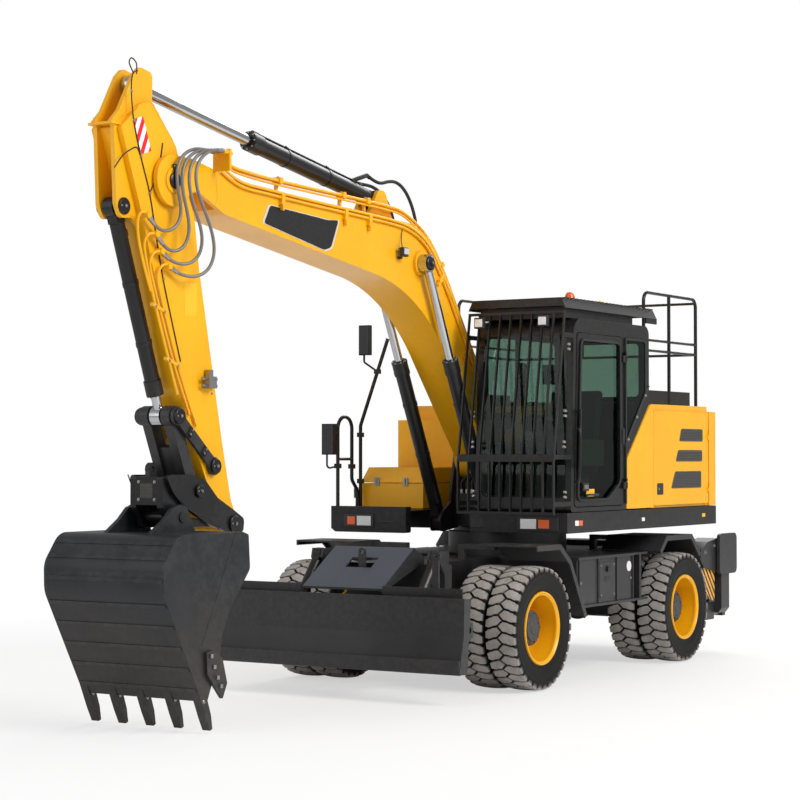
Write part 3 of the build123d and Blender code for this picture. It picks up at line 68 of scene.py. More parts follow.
# ---------------------------------------------------------------- settings
class ExcavatorFinish(bpy.types.PropertyGroup):
    """Colours and wear of the whole machine."""

    yellow: bpy.props.FloatVectorProperty(
        name="Yellow", description="Paint of the boom, arm, hood and rims", subtype="COLOR",
        default=(0.92, 0.445, 0.003), min=0.0, max=1.0)
    grey: bpy.props.FloatVectorProperty(
        name="Grey", description="Paint of the undercarriage and the deck", subtype="COLOR",
        default=(0.026, 0.026, 0.028), min=0.0, max=1.0)
    black: bpy.props.FloatVectorProperty(
        name="Black", description="Paint of the cab, rails and rams", subtype="COLOR",
        default=(0.008, 0.008, 0.009), min=0.0, max=1.0)
    dust: bpy.props.FloatVectorProperty(
        name="Dust", description="Colour of dust on tyres and ledges", subtype="COLOR",
        default=(0.30, 0.27, 0.235), min=0.0, max=1.0)
    dustiness: bpy.props.FloatProperty(
        name="Dustiness", description="How much dust lies on the machine", subtype="FACTOR",
        default=0.4, min=0.0, max=1.0)
    wear: bpy.props.FloatProperty(
        name="Wear", description="How far paint is rubbed off along edges", subtype="FACTOR",
        default=0.35, min=0.0, max=1.0)


class ExcavatorTyres(bpy.types.PropertyGroup):
    """The tread of the eight tyres."""

    lugs: bpy.props.IntProperty(
        name="Lugs", description="Lugs along each edge of a tyre", default=34, min=12, max=44)
    depth: bpy.props.FloatProperty(
        name="Tread depth", description="Depth of the grooves between lugs", subtype="DISTANCE",
        unit="LENGTH", default=0.024, min=0.005, max=0.04)
    groove: bpy.props.FloatProperty(
        name="Groove", description="Width of the grooves between lugs", subtype="DISTANCE",
        unit="LENGTH", default=0.034, min=0.005, max=0.05)


class ExcavatorHoses(bpy.types.PropertyGroup):
    """Hoses and pipes along the boom and arm."""

    hose_radius: bpy.props.FloatProperty(
        name="Hose radius", description="Radius of the hoses at the arm's pin", subtype="DISTANCE",
        unit="LENGTH", default=0.013, min=0.005, max=0.03)
    wrap_pitch: bpy.props.FloatProperty(
        name="Wrap pitch", description="Length of one turn of the spiral guard", subtype="DISTANCE",
        unit="LENGTH", default=0.016, min=0.008, max=0.06)
    pipe_radius: bpy.props.FloatProperty(
        name="Pipe radius", description="Radius of the steel pipes on the boom", subtype="DISTANCE",
        unit="LENGTH", default=0.0125, min=0.004, max=0.03)


class ExcavatorStage(bpy.types.PropertyGroup):
    """The camera and the light."""

    lens: bpy.props.FloatProperty(
        name="Lens", description="Focal length of the camera", subtype="DISTANCE_CAMERA",
        unit="CAMERA", default=92.95, min=20.0, max=300.0)
    key: bpy.props.FloatProperty(
        name="Key light", description="Power of the main soft lamp", subtype="POWER", unit="POWER",
        default=1750.0, min=0.0, max=20000.0)
    sky: bpy.props.FloatProperty(
        name="Sky", description="Strength of the even light from all round", subtype="FACTOR",
        default=0.44, min=0.0, max=3.0)
    shine: bpy.props.FloatProperty(
        name="Shine", description="Brightness of the sky as the paint and glass mirror it", subtype="FACTOR",
        default=0.42, min=0.0, max=3.0)


def settings(name):
    return getattr(bpy.context.scene, f"excavator_{name}")


# ---------------------------------------------------------------- places
def at(x, y, z):
    """A point of the machine's drawing, in the frame's metres."""
    return Vector(((x - ORIGIN_X) / 1000, y / 1000, z / 1000))


def both(y):
    """The same distance on the left and on the right."""
    return (y, -y)


def reach(side, near, far):
    """A span of Y between two distances from the middle, on the left (1) or on the right (-1)."""
    return sorted((side * near, side * far))


# ---------------------------------------------------------------- mesh helpers
class Shape:
    """A mesh being put together from simple closed solids, all in the machine's millimetres."""

    def __init__(self):
        self.mesh = bmesh.new()

    def faces(self, points, loops):
        made = [self.mesh.verts.new(point) for point in points]
        for loop in loops:
            self.mesh.faces.new([made[i] for i in loop])

    def slab(self, x, y, z):
        corners = [at(a, b, c) for a in x for b in y for c in z]
        self.faces(
            corners, [(0, 1, 3, 2), (4, 6, 7, 5), (0, 4, 5, 1), (2, 3, 7, 6), (0, 2, 6, 4), (1, 5, 7, 3)])

    def rod(self, start, end, radius, end_radius=None, sides=20, chamfer=0.0):
        """A round bar, or a cone, between two points."""
        a, b = at(*start), at(*end)
        along = (b - a).normalized()
        across = along.orthogonal().normalized()
        third = along.cross(across)
        last = radius if end_radius is None else end_radius
        c = chamfer / 1000
        rings = [(a, radius), (b, last)]
        if c:
            rings = [
                (a, radius - chamfer), (a + along * c, radius), (b - along * c, last), (b, last - chamfer)]
        self.lathe_rings(rings, across, third, sides)

    def lathe_rings(self, rings, across, third, sides):
        points = []
        for centre, radius in rings:
            for i in range(sides):
                turn = math.tau * i / sides
                points.append(centre + (across * math.cos(turn) + third * math.sin(turn)) * radius / 1000)
        loops = [tuple(reversed(range(sides)))]
        for ring in range(len(rings) - 1):
            low = ring * sides
            for i in range(sides):
                j = (i + 1) % sides
                loops.append((low + i, low + j, low + sides + j, low + sides + i))
        last = (len(rings) - 1) * sides
        loops.append(tuple(range(last, last + sides)))
        self.faces(points, loops)

    def turned(self, centre, axis, profile, sides=48):
        """A solid turned about an axis through a centre: profile lists (distance along, radius)."""
        along = Vector(axis).normalized()
        across = along.orthogonal().normalized()
        origin = at(*centre)
        rings = [(origin + along * step / 1000, radius) for step, radius in profile]
        self.lathe_rings(rings, across, along.cross(across), sides)

    def ring(self, centre, axis, profile, sides=48):
        """A closed outline turned about an axis: profile lists (distance along, radius)."""
        along = Vector(axis).normalized()
        across = along.orthogonal().normalized()
        third = along.cross(across)
        origin = at(*centre)
        rings = []
        for i in range(sides):
            turn = math.tau * i / sides
            out = (across * math.cos(turn) + third * math.sin(turn)) / 1000
            rings.append(
                [self.mesh.verts.new(origin + along * step / 1000 + out * size) for step, size in profile])
        for here, there in zip(rings, rings[1:] + rings[:1]):
            for k in range(len(profile)):
                m = (k + 1) % len(profile)
                self.mesh.faces.new([here[k], here[m], there[m], there[k]])

    def bolt(self, centre, axis, size=18.0):
        """A hexagon head on a washer, standing on a face."""
        self.turned(centre, axis, [(-2, size * 0.8), (size * 0.14, size * 0.8)], sides=20)
        self.turned(
            centre, axis, [(0, size * 0.56), (size * 0.5, size * 0.56), (size * 0.58, size * 0.48)],
            sides=6)

    def plate(self, points, y):
        """An outline in X and Z, between two values of Y."""
        count = len(points)
        corners = [at(x, side, z) for side in y for x, z in points]
        loops = [tuple(range(count)), tuple(reversed(range(count, 2 * count)))]
        for i in range(count):
            j = (i + 1) % count
            loops.append((i, i + count, j + count, j))
        self.faces(corners, loops)

    def tube(self, points, radius, sides=12, close=False, wave=None):
        """A round tube through points in metres; wave(i) may swell or shrink it along its way."""
        path = [Vector(point) for point in points]
        count = len(path)
        tangents = []
        for i in range(count):
            before = path[i - 1] if i or close else path[i]
            after = path[(i + 1) % count] if i < count - 1 or close else path[i]
            tangents.append((after - before).normalized())
        normal = tangents[0].orthogonal().normalized()
        rings = []
        for i, (point, tangent) in enumerate(zip(path, tangents)):
            normal = (normal - tangent * normal.dot(tangent)).normalized()
            side = tangent.cross(normal)
            size = radius * (wave(i) if wave else 1.0) / 1000
            rings.append([
                self.mesh.verts.new(point + (normal * math.cos(turn) + side * math.sin(turn)) * size)
                for turn in (math.tau * k / sides for k in range(sides))
            ])
        pairs = list(zip(rings, rings[1:]))
        if close:
            pairs.append((rings[-1], rings[0]))
        for ring, following in pairs:
            for k in range(sides):
                m = (k + 1) % sides
                self.mesh.faces.new([ring[k], ring[m], following[m], following[k]])
        if not close:
            self.mesh.faces.new(list(reversed(rings[0])))
            self.mesh.faces.new(rings[-1])

    def piece(self, name, body, finish, slot, bevel=0.0, smooth=35.0, segments=2, stands_for=()):
        """Close the mesh, give it its finish and set it riding on its body."""
        bmesh.ops.recalc_face_normals(self.mesh, faces=self.mesh.faces)
        mesh = bpy.data.meshes.new(name)
        self.mesh.to_mesh(mesh)
        self.mesh.free()
        return place(mesh, name, body, finish, bevel, smooth, segments, stands_for)


def place(mesh, name, body, finish, bevel=0.0, smooth=35.0, segments=2, stands_for=()):
    mesh.materials.append(material(finish))
    piece = bpy.data.objects.new(name, mesh)
    bpy.context.scene.collection.objects.link(piece)
    mesh.shade_smooth()
    mesh.set_sharp_from_angle(angle=math.radians(smooth))
    if bevel:
        edge = piece.modifiers.new("Edges", "BEVEL")
        edge.width = bevel / 1000
        edge.segments = segments
        edge.limit_method = "ANGLE"
        edge.angle_limit = math.radians(smooth)
        edge.harden_normals = True
    if body:
        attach(piece, body)
    if stands_for:
        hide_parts(*stands_for)
    return piece


def rounded(points, radius, steps=5):
    """An outline whose corners are rounded off, as a longer list of points."""
    out = []
    count = len(points)
    for i in range(count):
        corner = Vector(points[i])
        before = Vector(points[i - 1]) - corner
        after = Vector(points[(i + 1) % count]) - corner
        reach = min(radius, before.length * 0.45, after.length * 0.45)
        a = corner + before.normalized() * reach
        b = corner + after.normalized() * reach
        for step in range(steps + 1):
            t = step / steps
            out.append(tuple(a * (1 - t) ** 2 + corner * 2 * t * (1 - t) + b * t ** 2))
    return out


def framed(outline, width, middle=None):
    """An outline whose corners are moved by a width towards its middle, for what lies inside it."""
    if middle is None:
        middle = Vector((0.0, 0.0))
        for spot in outline:
            middle += Vector(spot) / len(outline)
    out = []
    for spot in outline:
        arm = Vector(spot) - middle
        out.append(tuple(middle + arm * (1 - width / arm.length)))
    return out


def smooth_path(points, steps=8):
    """Points along a soft curve that passes through a list of points in metres."""
    path = [Vector(point) for point in points]
    out = []
    for i in range(len(path) - 1):
        p0 = path[max(i - 1, 0)]
        p1, p2 = path[i], path[i + 1]
        p3 = path[min(i + 2, len(path) - 1)]
        for step in range(steps):
            t = step / steps
            out.append(0.5 * (
                2 * p1 + (p2 - p0) * t + (2 * p0 - 5 * p1 + 4 * p2 - p3) * t ** 2
                + (3 * p1 - p0 - 3 * p2 + p3) * t ** 3
            ))
    out.append(path[-1])
    return out


# ---------------------------------------------------------------- finishes
class Nodes:
    """Short ways of adding nodes to a tree and joining them."""

    def __init__(self, tree):
        self.tree = tree

    def add(self, kind, **values):
        node = self.tree.nodes.new(kind)
        for name, value in values.items():
            if name in node.inputs:
                self.feed(node.inputs[name], value)
            else:
                setattr(node, name, value)
        return node

    def feed(self, socket, value):
        if isinstance(value, bpy.types.NodeSocket):
            self.tree.links.new(value, socket)
        else:
            socket.default_value = value

    def math(self, operation, a, b=0.0, clamp=False):
        node = self.tree.nodes.new("ShaderNodeMath")
        node.operation = operation
        node.use_clamp = clamp
        self.feed(node.inputs[0], a)
        self.feed(node.inputs[1], b)
        return node.outputs[0]

    def mix(self, factor, a, b, blend="MIX"):
        node = self.tree.nodes.new("ShaderNodeMix")
        node.data_type = "RGBA"
        node.blend_type = blend
        self.feed(node.inputs["Factor"], factor)
        self.feed(node.inputs[6], a)
        self.feed(node.inputs[7], b)
        return node.outputs[2]

    def span(self, value, low, high, out_low=0.0, out_high=1.0):
        node = self.tree.nodes.new("ShaderNodeMapRange")
        for name, number in (
            ("From Min", low), ("From Max", high), ("To Min", out_low), ("To Max", out_high),
        ):
            node.inputs[name].default_value = number
        self.feed(node.inputs["Value"], value)
        return node.outputs["Result"]

    def noise(self, scale, detail=3.0, rough=0.5, vector=None):
        node = self.tree.nodes.new("ShaderNodeTexNoise")
        node.inputs["Scale"].default_value = scale
        node.inputs["Detail"].default_value = detail
        node.inputs["Roughness"].default_value = rough
        self.feed(node.inputs["Vector"], vector or self.where())
        return node.outputs["Fac"]

    def where(self):
        """The point's own place, which goes with the piece when it moves."""
        return self.tree.nodes.new("ShaderNodeTexCoord").outputs["Object"]


def rgba(colour):
    return (*colour[:3], 1.0)


def group(name, inputs, outputs):
    """A new shader node group with its sockets, and what builds inside it."""
    tree = bpy.data.node_groups.new(name, "ShaderNodeTree")
    for label, kind, default in inputs:
        socket = tree.interface.new_socket(name=label, in_out="INPUT", socket_type=kind)
        socket.default_value = default
    for label, kind in outputs:
        tree.interface.new_socket(name=label, in_out="OUTPUT", socket_type=kind)
    nodes = Nodes(tree)
    return tree, nodes, nodes.add("NodeGroupInput").outputs, nodes.add("NodeGroupOutput").inputs


def wear_group():
    """Rubbed edges and scattered chips, as a mask."""
    tree, nodes, given, result = group(
        "Edge wear",
        [("Amount", "NodeSocketFloat", 0.3), ("Scale", "NodeSocketFloat", 20.0)],
        [("Mask", "NodeSocketFloat")],
    )
    edges = nodes.span(nodes.add("ShaderNodeNewGeometry").outputs["Pointiness"], 0.505, 0.56)
    coarse = nodes.add("ShaderNodeTexNoise", Detail=6.0, Roughness=0.7)
    nodes.feed(coarse.inputs["Vector"], nodes.where())
    nodes.feed(coarse.inputs["Scale"], given["Scale"])
    broken = nodes.span(coarse.outputs["Fac"], 0.42, 0.62)
    mask = nodes.math("MULTIPLY", nodes.math("MULTIPLY", edges, broken), given["Amount"], clamp=True)
    nodes.feed(result["Mask"], mask)
    return tree


def dust_group():
    """Dust that lies on upward faces, thins with height and breaks up in patches."""
    tree, nodes, given, result = group(
        "Dust",
        [
            ("Colour", "NodeSocketColor", (0.5, 0.5, 0.5, 1.0)),
            ("Dust colour", "NodeSocketColor", (0.3, 0.27, 0.23, 1.0)),
            ("Amount", "NodeSocketFloat", 0.5),
            ("Rough", "NodeSocketFloat", 0.4),
        ],
        [("Colour", "NodeSocketColor"), ("Roughness", "NodeSocketFloat")],
    )
    place_now = nodes.add("ShaderNodeSeparateXYZ")
    nodes.feed(place_now.inputs[0], nodes.where())
    low = nodes.span(place_now.outputs["Z"], 0.0, 1.7, 1.0, 0.12)
    facing = nodes.add("ShaderNodeSeparateXYZ")
    nodes.feed(facing.inputs[0], nodes.add("ShaderNodeNewGeometry").outputs["Normal"])
    top = nodes.span(facing.outputs["Z"], -0.2, 1.0, 0.25, 1.0)
    patches = nodes.span(nodes.noise(3.5, 6.0, 0.62), 0.38, 0.68)
    fine = nodes.span(nodes.noise(60.0, 3.0, 0.6), 0.3, 0.7, 0.55, 1.0)
    mask = nodes.math("MULTIPLY", nodes.math("MULTIPLY", low, top), nodes.math("MULTIPLY", patches, fine))
    mask = nodes.math("MULTIPLY", mask, given["Amount"], clamp=True)
    nodes.feed(result["Colour"], nodes.mix(mask, given["Colour"], given["Dust colour"]))
    rough = nodes.math("ADD", given["Rough"], nodes.math("MULTIPLY", mask, 0.5), clamp=True)
    nodes.feed(result["Roughness"], rough)
    return tree


def skin_group():
    """The unevenness of sprayed paint or of a moulding, as a height, with a slow change of shade."""
    tree, nodes, given, result = group(
        "Skin",
        [
            ("Colour", "NodeSocketColor", (0.5, 0.5, 0.5, 1.0)),
            ("Scale", "NodeSocketFloat", 300.0),
            ("Shade", "NodeSocketFloat", 0.1),
        ],
        [("Colour", "NodeSocketColor"), ("Height", "NodeSocketFloat")],
    )
    peel = nodes.add("ShaderNodeTexNoise", Detail=2.0)
    nodes.feed(peel.inputs["Vector"], nodes.where())
    nodes.feed(peel.inputs["Scale"], given["Scale"])
    nodes.feed(result["Height"], peel.outputs["Fac"])
    slow = nodes.span(nodes.noise(1.6, 4.0, 0.55), 0.3, 0.7, -1.0, 1.0)
    change = nodes.math("MULTIPLY", slow, given["Shade"])
    shade = nodes.add("ShaderNodeHueSaturation")
    nodes.feed(shade.inputs["Color"], given["Colour"])
    nodes.feed(shade.inputs["Value"], nodes.math("ADD", change, 1.0))
    nodes.feed(result["Colour"], shade.outputs["Color"])
    return tree


def stripes_group():
    """Slanting stripes, as a mask: 1 on a stripe and 0 between two."""
    tree, nodes, given, result = group(
        "Stripes",
        [("Pitch", "NodeSocketFloat", 0.1), ("Slope", "NodeSocketFloat", 1.0),
         ("Offset", "NodeSocketFloat", 0.0)],
        [("Mask", "NodeSocketFloat")],
    )
    split = nodes.add("ShaderNodeSeparateXYZ")
    nodes.feed(split.inputs[0], nodes.where())
    flat = nodes.math("ADD", split.outputs["X"], split.outputs["Y"])
    line = nodes.math("ADD", nodes.math("MULTIPLY", flat, given["Slope"]), split.outputs["Z"])
    turns = nodes.math("DIVIDE", nodes.math("ADD", line, given["Offset"]), given["Pitch"])
    part = nodes.math("FRACT", turns)
    nodes.feed(result["Mask"], nodes.math("GREATER_THAN", part, 0.5))
    return tree


EFFECTS = {"wear": wear_group, "dust": dust_group, "skin": skin_group, "stripes": stripes_group}


def effect(nodes, name, **values):
    """One of the shared groups, placed in a material with its own values."""
    label = f"excavator {name}"
    if label not in bpy.data.node_groups:
        EFFECTS[name]().name = label
    node = nodes.add("ShaderNodeGroup")
    node.node_tree = bpy.data.node_groups[label]
    for key, value in values.items():
        nodes.feed(node.inputs[key.replace("_", " ")], value)
    return node.outputs


def surface(name):
    """A new material with a Principled shader, and what adds nodes to it."""
    made = bpy.data.materials.new(name)
    made.use_nodes = True
    tree = made.node_tree
    shader = tree.nodes["Principled BSDF"]
    return made, Nodes(tree), shader


def bump(nodes, shader, height, strength, distance, bevel=0.0):
    node = nodes.add("ShaderNodeBump", Strength=strength, Distance=distance)
    nodes.feed(node.inputs["Height"], height)
    if bevel:
        soft = nodes.add("ShaderNodeBevel", samples=4)
        soft.inputs["Radius"].default_value = bevel
        nodes.feed(node.inputs["Normal"], soft.outputs["Normal"])
    nodes.feed(shader.inputs["Normal"], node.outputs["Normal"])


def painted(name, colour, rough, dust, wear, bare=(0.16, 0.15, 0.14), coat=0.0, scale=260.0, bevel=0.003):
    """Sprayed paint over steel: orange peel, dust and rubbed edges."""
    finish = settings("finish")
    made, nodes, shader = surface(name)
    skin = effect(nodes, "skin", Colour=rgba(colour), Scale=scale, Shade=0.07)
    rubbed = effect(nodes, "wear", Amount=wear * finish.wear, Scale=22.0)["Mask"]
    base = nodes.mix(rubbed, skin["Colour"], rgba(bare))
    dusted = effect(
        nodes, "dust", Colour=base, Dust_colour=rgba(finish.dust), Amount=dust * finish.dustiness,
        Rough=rough)
    nodes.feed(shader.inputs["Base Color"], dusted["Colour"])
    nodes.feed(shader.inputs["Roughness"], dusted["Roughness"])
    shader.inputs["Specular IOR Level"].default_value = 0.4
    shader.inputs["Coat Weight"].default_value = coat
    shader.inputs["Coat Roughness"].default_value = 0.12
    bump(nodes, shader, skin["Height"], 0.10, 0.0006, bevel)
    return made


def yellow_paint():
    return painted("yellow paint", settings("finish").yellow, 0.33, 0.10, 0.15, coat=0.15)


def grey_paint():
    return painted("grey paint", settings("finish").grey, 0.40, 0.22, 0.25)


def black_paint():
    return painted("black paint", settings("finish").black, 0.32, 0.2, 0.2)


def cover_painted_reflection():
    # bluish and lighter than the grey paint: a painted reflection of the sky on the cover's upward slopes,
    # with dust and wear
    return painted("blade cover painted reflection", (0.060, 0.070, 0.094), 0.34, 0.12, 0.1)


def bucket_steel():
    """Blue-black steel above, browner and scraped towards the teeth, with streaks along the digging way."""
    made, nodes, shader = surface("bucket steel")
    finish = settings("finish")
    place_now = nodes.add("ShaderNodeSeparateXYZ")
    nodes.feed(place_now.inputs[0], nodes.where())
    patches = nodes.noise(2.6, 6.0, 0.6)
    lift = nodes.math("ADD", place_now.outputs["Z"], nodes.math("MULTIPLY", patches, 0.7))
    low = nodes.span(lift, 0.85, 1.45, 1.0, 0.0)
    stretch = nodes.add("ShaderNodeMapping", Scale=(1.0, 9.0, 1.0))
    nodes.feed(stretch.inputs["Vector"], nodes.where())
    streaks = nodes.noise(16.0, 5.0, 0.65, stretch.outputs["Vector"])
    paint = nodes.mix(nodes.span(patches, 0.3, 0.7), (0.014, 0.016, 0.020, 1), (0.024, 0.026, 0.030, 1))
    earth = nodes.mix(nodes.span(streaks, 0.3, 0.7), (0.030, 0.025, 0.023, 1), (0.062, 0.053, 0.047, 1))
    base = nodes.mix(nodes.math("MULTIPLY", low, 0.75), paint, earth)
    edges = effect(nodes, "wear", Amount=0.06, Scale=14.0)["Mask"]
    base = nodes.mix(edges, base, (0.24, 0.235, 0.23, 1))
    dusted = effect(nodes, "dust", Colour=base, Dust_colour=rgba(finish.dust), Amount=0.25, Rough=0.42)
    nodes.feed(shader.inputs["Base Color"], dusted["Colour"])
    nodes.feed(shader.inputs["Roughness"], dusted["Roughness"])
    shader.inputs["Metallic"].default_value = 0.35
    bump(nodes, shader, streaks, 0.25, 0.0012, 0.003)
    return made


def machined_steel():
    made, nodes, shader = surface("machined steel")
    grain = nodes.noise(180.0, 4.0, 0.6)
    nodes.feed(shader.inputs["Base Color"], nodes.mix(grain, (0.30, 0.30, 0.31, 1), (0.44, 0.43, 0.42, 1)))
    nodes.feed(shader.inputs["Roughness"], nodes.span(grain, 0.3, 0.7, 0.28, 0.5))
    shader.inputs["Metallic"].default_value = 1.0
    bump(nodes, shader, grain, 0.12, 0.0004, 0.002)
    return made


def chrome():
    """Hard chrome with a thin film of oil."""
    made, nodes, shader = surface("chrome")
    film = nodes.noise(9.0, 4.0, 0.6)
    shader.inputs["Base Color"].default_value = (0.50, 0.51, 0.53, 1)
    nodes.feed(shader.inputs["Roughness"], nodes.span(film, 0.35, 0.7, 0.07, 0.2))
    shader.inputs["Metallic"].default_value = 1.0
    return made


def tyre_rubber():
    """Black rubber, dusty on the ground faces of the lugs and clean in the grooves."""
    made, nodes, shader = surface("tyre rubber")
    spot = nodes.add("ShaderNodeSeparateXYZ")
    nodes.feed(spot.inputs[0], nodes.add("ShaderNodeAttribute", attribute_name="ground").outputs["Vector"])
    patches = nodes.span(nodes.noise(11.0, 6.0, 0.65), 0.3, 0.7, 0.62, 1.0)
    fine = nodes.span(nodes.noise(90.0, 3.0, 0.6), 0.3, 0.7, 0.75, 1.0)
    mask = nodes.math("MULTIPLY", spot.outputs["X"], nodes.math("MULTIPLY", patches, fine), clamp=True)
    dusty = nodes.mix(mask, (0.007, 0.007, 0.007, 1), (0.50, 0.465, 0.435, 1))
    nodes.feed(shader.inputs["Base Color"], dusty)
    nodes.feed(shader.inputs["Roughness"], nodes.span(mask, 0.0, 1.0, 0.62, 0.92))
    shader.inputs["Specular IOR Level"].default_value = 0.25
    bump(nodes, shader, nodes.noise(420.0, 3.0, 0.6), 0.3, 0.0006)
    return made


def plain(
    name, colour, rough, metallic=0.0, grain=200.0, depth=0.0005, strength=0.15, bevel=0.0015, change=0.18,
):
    """A moulded or cast surface of one colour, with a fine grain and uneven sheen."""
    made, nodes, shader = surface(name)
    speck = nodes.noise(grain, 3.0, 0.6)
    slow = nodes.noise(4.0, 4.0, 0.6)
    low = tuple(c * (1 - change) for c in colour)
    high = tuple(min(c * (1 + change), 1.0) for c in colour)
    nodes.feed(shader.inputs["Base Color"], nodes.mix(slow, rgba(low), rgba(high)))
    nodes.feed(shader.inputs["Roughness"], nodes.span(slow, 0.3, 0.7, max(rough - 0.07, 0.02), rough + 0.07))
    shader.inputs["Metallic"].default_value = metallic
    bump(nodes, shader, speck, strength, depth, bevel)
    return made


def cast_iron():
    return painted("hub iron", (0.045, 0.046, 0.05), 0.45, 0.8, 0.9, scale=120.0)


def black_plastic():
    return plain("black plastic", (0.022, 0.022, 0.024), 0.5)


def rubber():
    return plain("black rubber", (0.016, 0.016, 0.017), 0.62)


def hose_guard():
    return plain("hose guard", (0.20, 0.19, 0.185), 0.36, metallic=0.25, grain=120.0)


def seat_cloth():
    """A coarse woven cloth."""
    made, nodes, shader = surface("seat cloth")
    bands = [
        nodes.add("ShaderNodeTexWave", bands_direction=way, Scale=160.0, Distortion=0.4)
        for way in ("Y", "Z")]
    for band in bands:
        nodes.feed(band.inputs["Vector"], nodes.where())
    weave = nodes.math("MULTIPLY", bands[0].outputs["Fac"], bands[1].outputs["Fac"])
    nodes.feed(shader.inputs["Base Color"], nodes.mix(weave, (0.018, 0.018, 0.02, 1), (0.06, 0.06, 0.065, 1)))
    shader.inputs["Roughness"].default_value = 0.9
    shader.inputs["Sheen Weight"].default_value = 0.3
    bump(nodes, shader, weave, 0.5, 0.0015)
    return made


GLASS_MIRROR = 0.45     # the part of a clean pane's mirroring that the tinted film leaves


def tinted_glass():
    """Dark green safety glass: a thin clear pane that mirrors more at a slant."""
    made, nodes, shader = surface("tinted glass")
    tree = made.node_tree
    tint = nodes.add("ShaderNodeBsdfTransparent", Color=(0.50, 0.60, 0.55, 1.0))
    sheen = nodes.add("ShaderNodeBsdfGlossy", Color=(0.95, 1.0, 0.97, 1.0), Roughness=0.02)
    slant = nodes.add("ShaderNodeFresnel", IOR=1.5)
    flat = nodes.add("ShaderNodeNewGeometry").outputs["True Normal"]
    nodes.feed(sheen.inputs["Normal"], flat)
    nodes.feed(slant.inputs["Normal"], flat)
    smear = nodes.span(nodes.noise(2.2, 5.0, 0.6), 0.45, 0.8, 0.0, 0.03)
    share = nodes.math("ADD", slant.outputs["Fac"], smear, clamp=True)
    inner = nodes.add("ShaderNodeNewGeometry").outputs["Backfacing"]
    share = nodes.math("MULTIPLY", share, nodes.span(inner, 0.0, 1.0, GLASS_MIRROR, 0.0))
    blend = nodes.add("ShaderNodeMixShader")
    nodes.feed(blend.inputs["Fac"], share)
    nodes.feed(blend.inputs[1], tint.outputs[0])
    nodes.feed(blend.inputs[2], sheen.outputs[0])
    tree.nodes.remove(shader)
    nodes.feed(tree.nodes["Material Output"].inputs["Surface"], blend.outputs[0])
    return made


def clear_lens():
    made, nodes, shader = surface("clear lens")
    ribs = nodes.add("ShaderNodeTexWave", Scale=45.0, bands_direction="Y")
    nodes.feed(ribs.inputs["Vector"], nodes.where())
    shader.inputs["Base Color"].default_value = (0.86, 0.87, 0.88, 1)
    nodes.feed(shader.inputs["Roughness"], nodes.span(ribs.outputs["Fac"], 0.0, 1.0, 0.08, 0.22))
    shader.inputs["Metallic"].default_value = 0.55
    bump(nodes, shader, ribs.outputs["Fac"], 0.5, 0.002)
    return made


def orange_lens():
    made, nodes, shader = surface("orange lens")
    ribs = nodes.add("ShaderNodeTexWave", Scale=60.0, bands_direction="Z")
    nodes.feed(ribs.inputs["Vector"], nodes.where())
    nodes.feed(
        shader.inputs["Base Color"],
        nodes.mix(ribs.outputs["Fac"], (0.75, 0.075, 0.008, 1), (0.92, 0.16, 0.02, 1)))
    shader.inputs["Roughness"].default_value = 0.16
    shader.inputs["Coat Weight"].default_value = 0.6
    bump(nodes, shader, ribs.outputs["Fac"], 0.3, 0.0015)
    return made


def mirror_glass():
    made, nodes, shader = surface("mirror glass")
    shader.inputs["Base Color"].default_value = (0.88, 0.9, 0.92, 1)
    shader.inputs["Metallic"].default_value = 1.0
    nodes.feed(shader.inputs["Roughness"], nodes.span(nodes.noise(5.0), 0.4, 0.7, 0.02, 0.09))
    return made


def striped(name, one, other, pitch, slope, offset=0.0):
    """A reflective sheet with slanting stripes."""
    made, nodes, shader = surface(name)
    finish = settings("finish")
    mask = effect(nodes, "stripes", Pitch=pitch, Slope=slope, Offset=offset)["Mask"]
    base = nodes.mix(mask, rgba(one), rgba(other))
    dusted = effect(
        nodes, "dust", Colour=base, Dust_colour=rgba(finish.dust), Amount=0.4 * finish.dustiness, Rough=0.3)
    nodes.feed(shader.inputs["Base Color"], dusted["Colour"])
    nodes.feed(shader.inputs["Roughness"], dusted["Roughness"])
    honeycomb = nodes.add("ShaderNodeTexVoronoi", Scale=260.0)
    nodes.feed(honeycomb.inputs["Vector"], nodes.where())
    bump(nodes, shader, honeycomb.outputs["Distance"], 0.12, 0.0004)
    return made


def red_white():
    return striped("red and white sheet", (0.80, 0.012, 0.03), (0.90, 0.90, 0.88), 0.21, 2.4, 0.035)


def black_yellow():
    return striped("black and yellow sheet", (0.02, 0.02, 0.021), (0.90, 0.42, 0.01), 0.085, -1.15)


def blank_plate():
    """A bare enamelled plate, black like the trim."""
    return plain("blank plate", (0.012, 0.012, 0.013), 0.28, grain=60.0, strength=0.05, change=0.06)


def plate_rim():
    """The bright rim round a blank plate."""
    return plain("plate rim", (0.62, 0.60, 0.56), 0.3, grain=80.0, strength=0.05, change=0.05)


def blank_sign():
    """A pale yellow sticker with nothing on it."""
    return plain("blank sticker", (0.93, 0.52, 0.015), 0.36, grain=60.0, strength=0.04, change=0.03)


def white_sign():
    """A white sticker with nothing on it."""
    return plain("white sticker", (0.80, 0.80, 0.78), 0.34, grain=60.0, strength=0.04, change=0.04)


def bare_board():
    """A pale galvanised pad."""
    return plain(
        "galvanised steel", (0.42, 0.43, 0.44), 0.38, metallic=0.6, grain=40.0, strength=0.08, change=0.12)


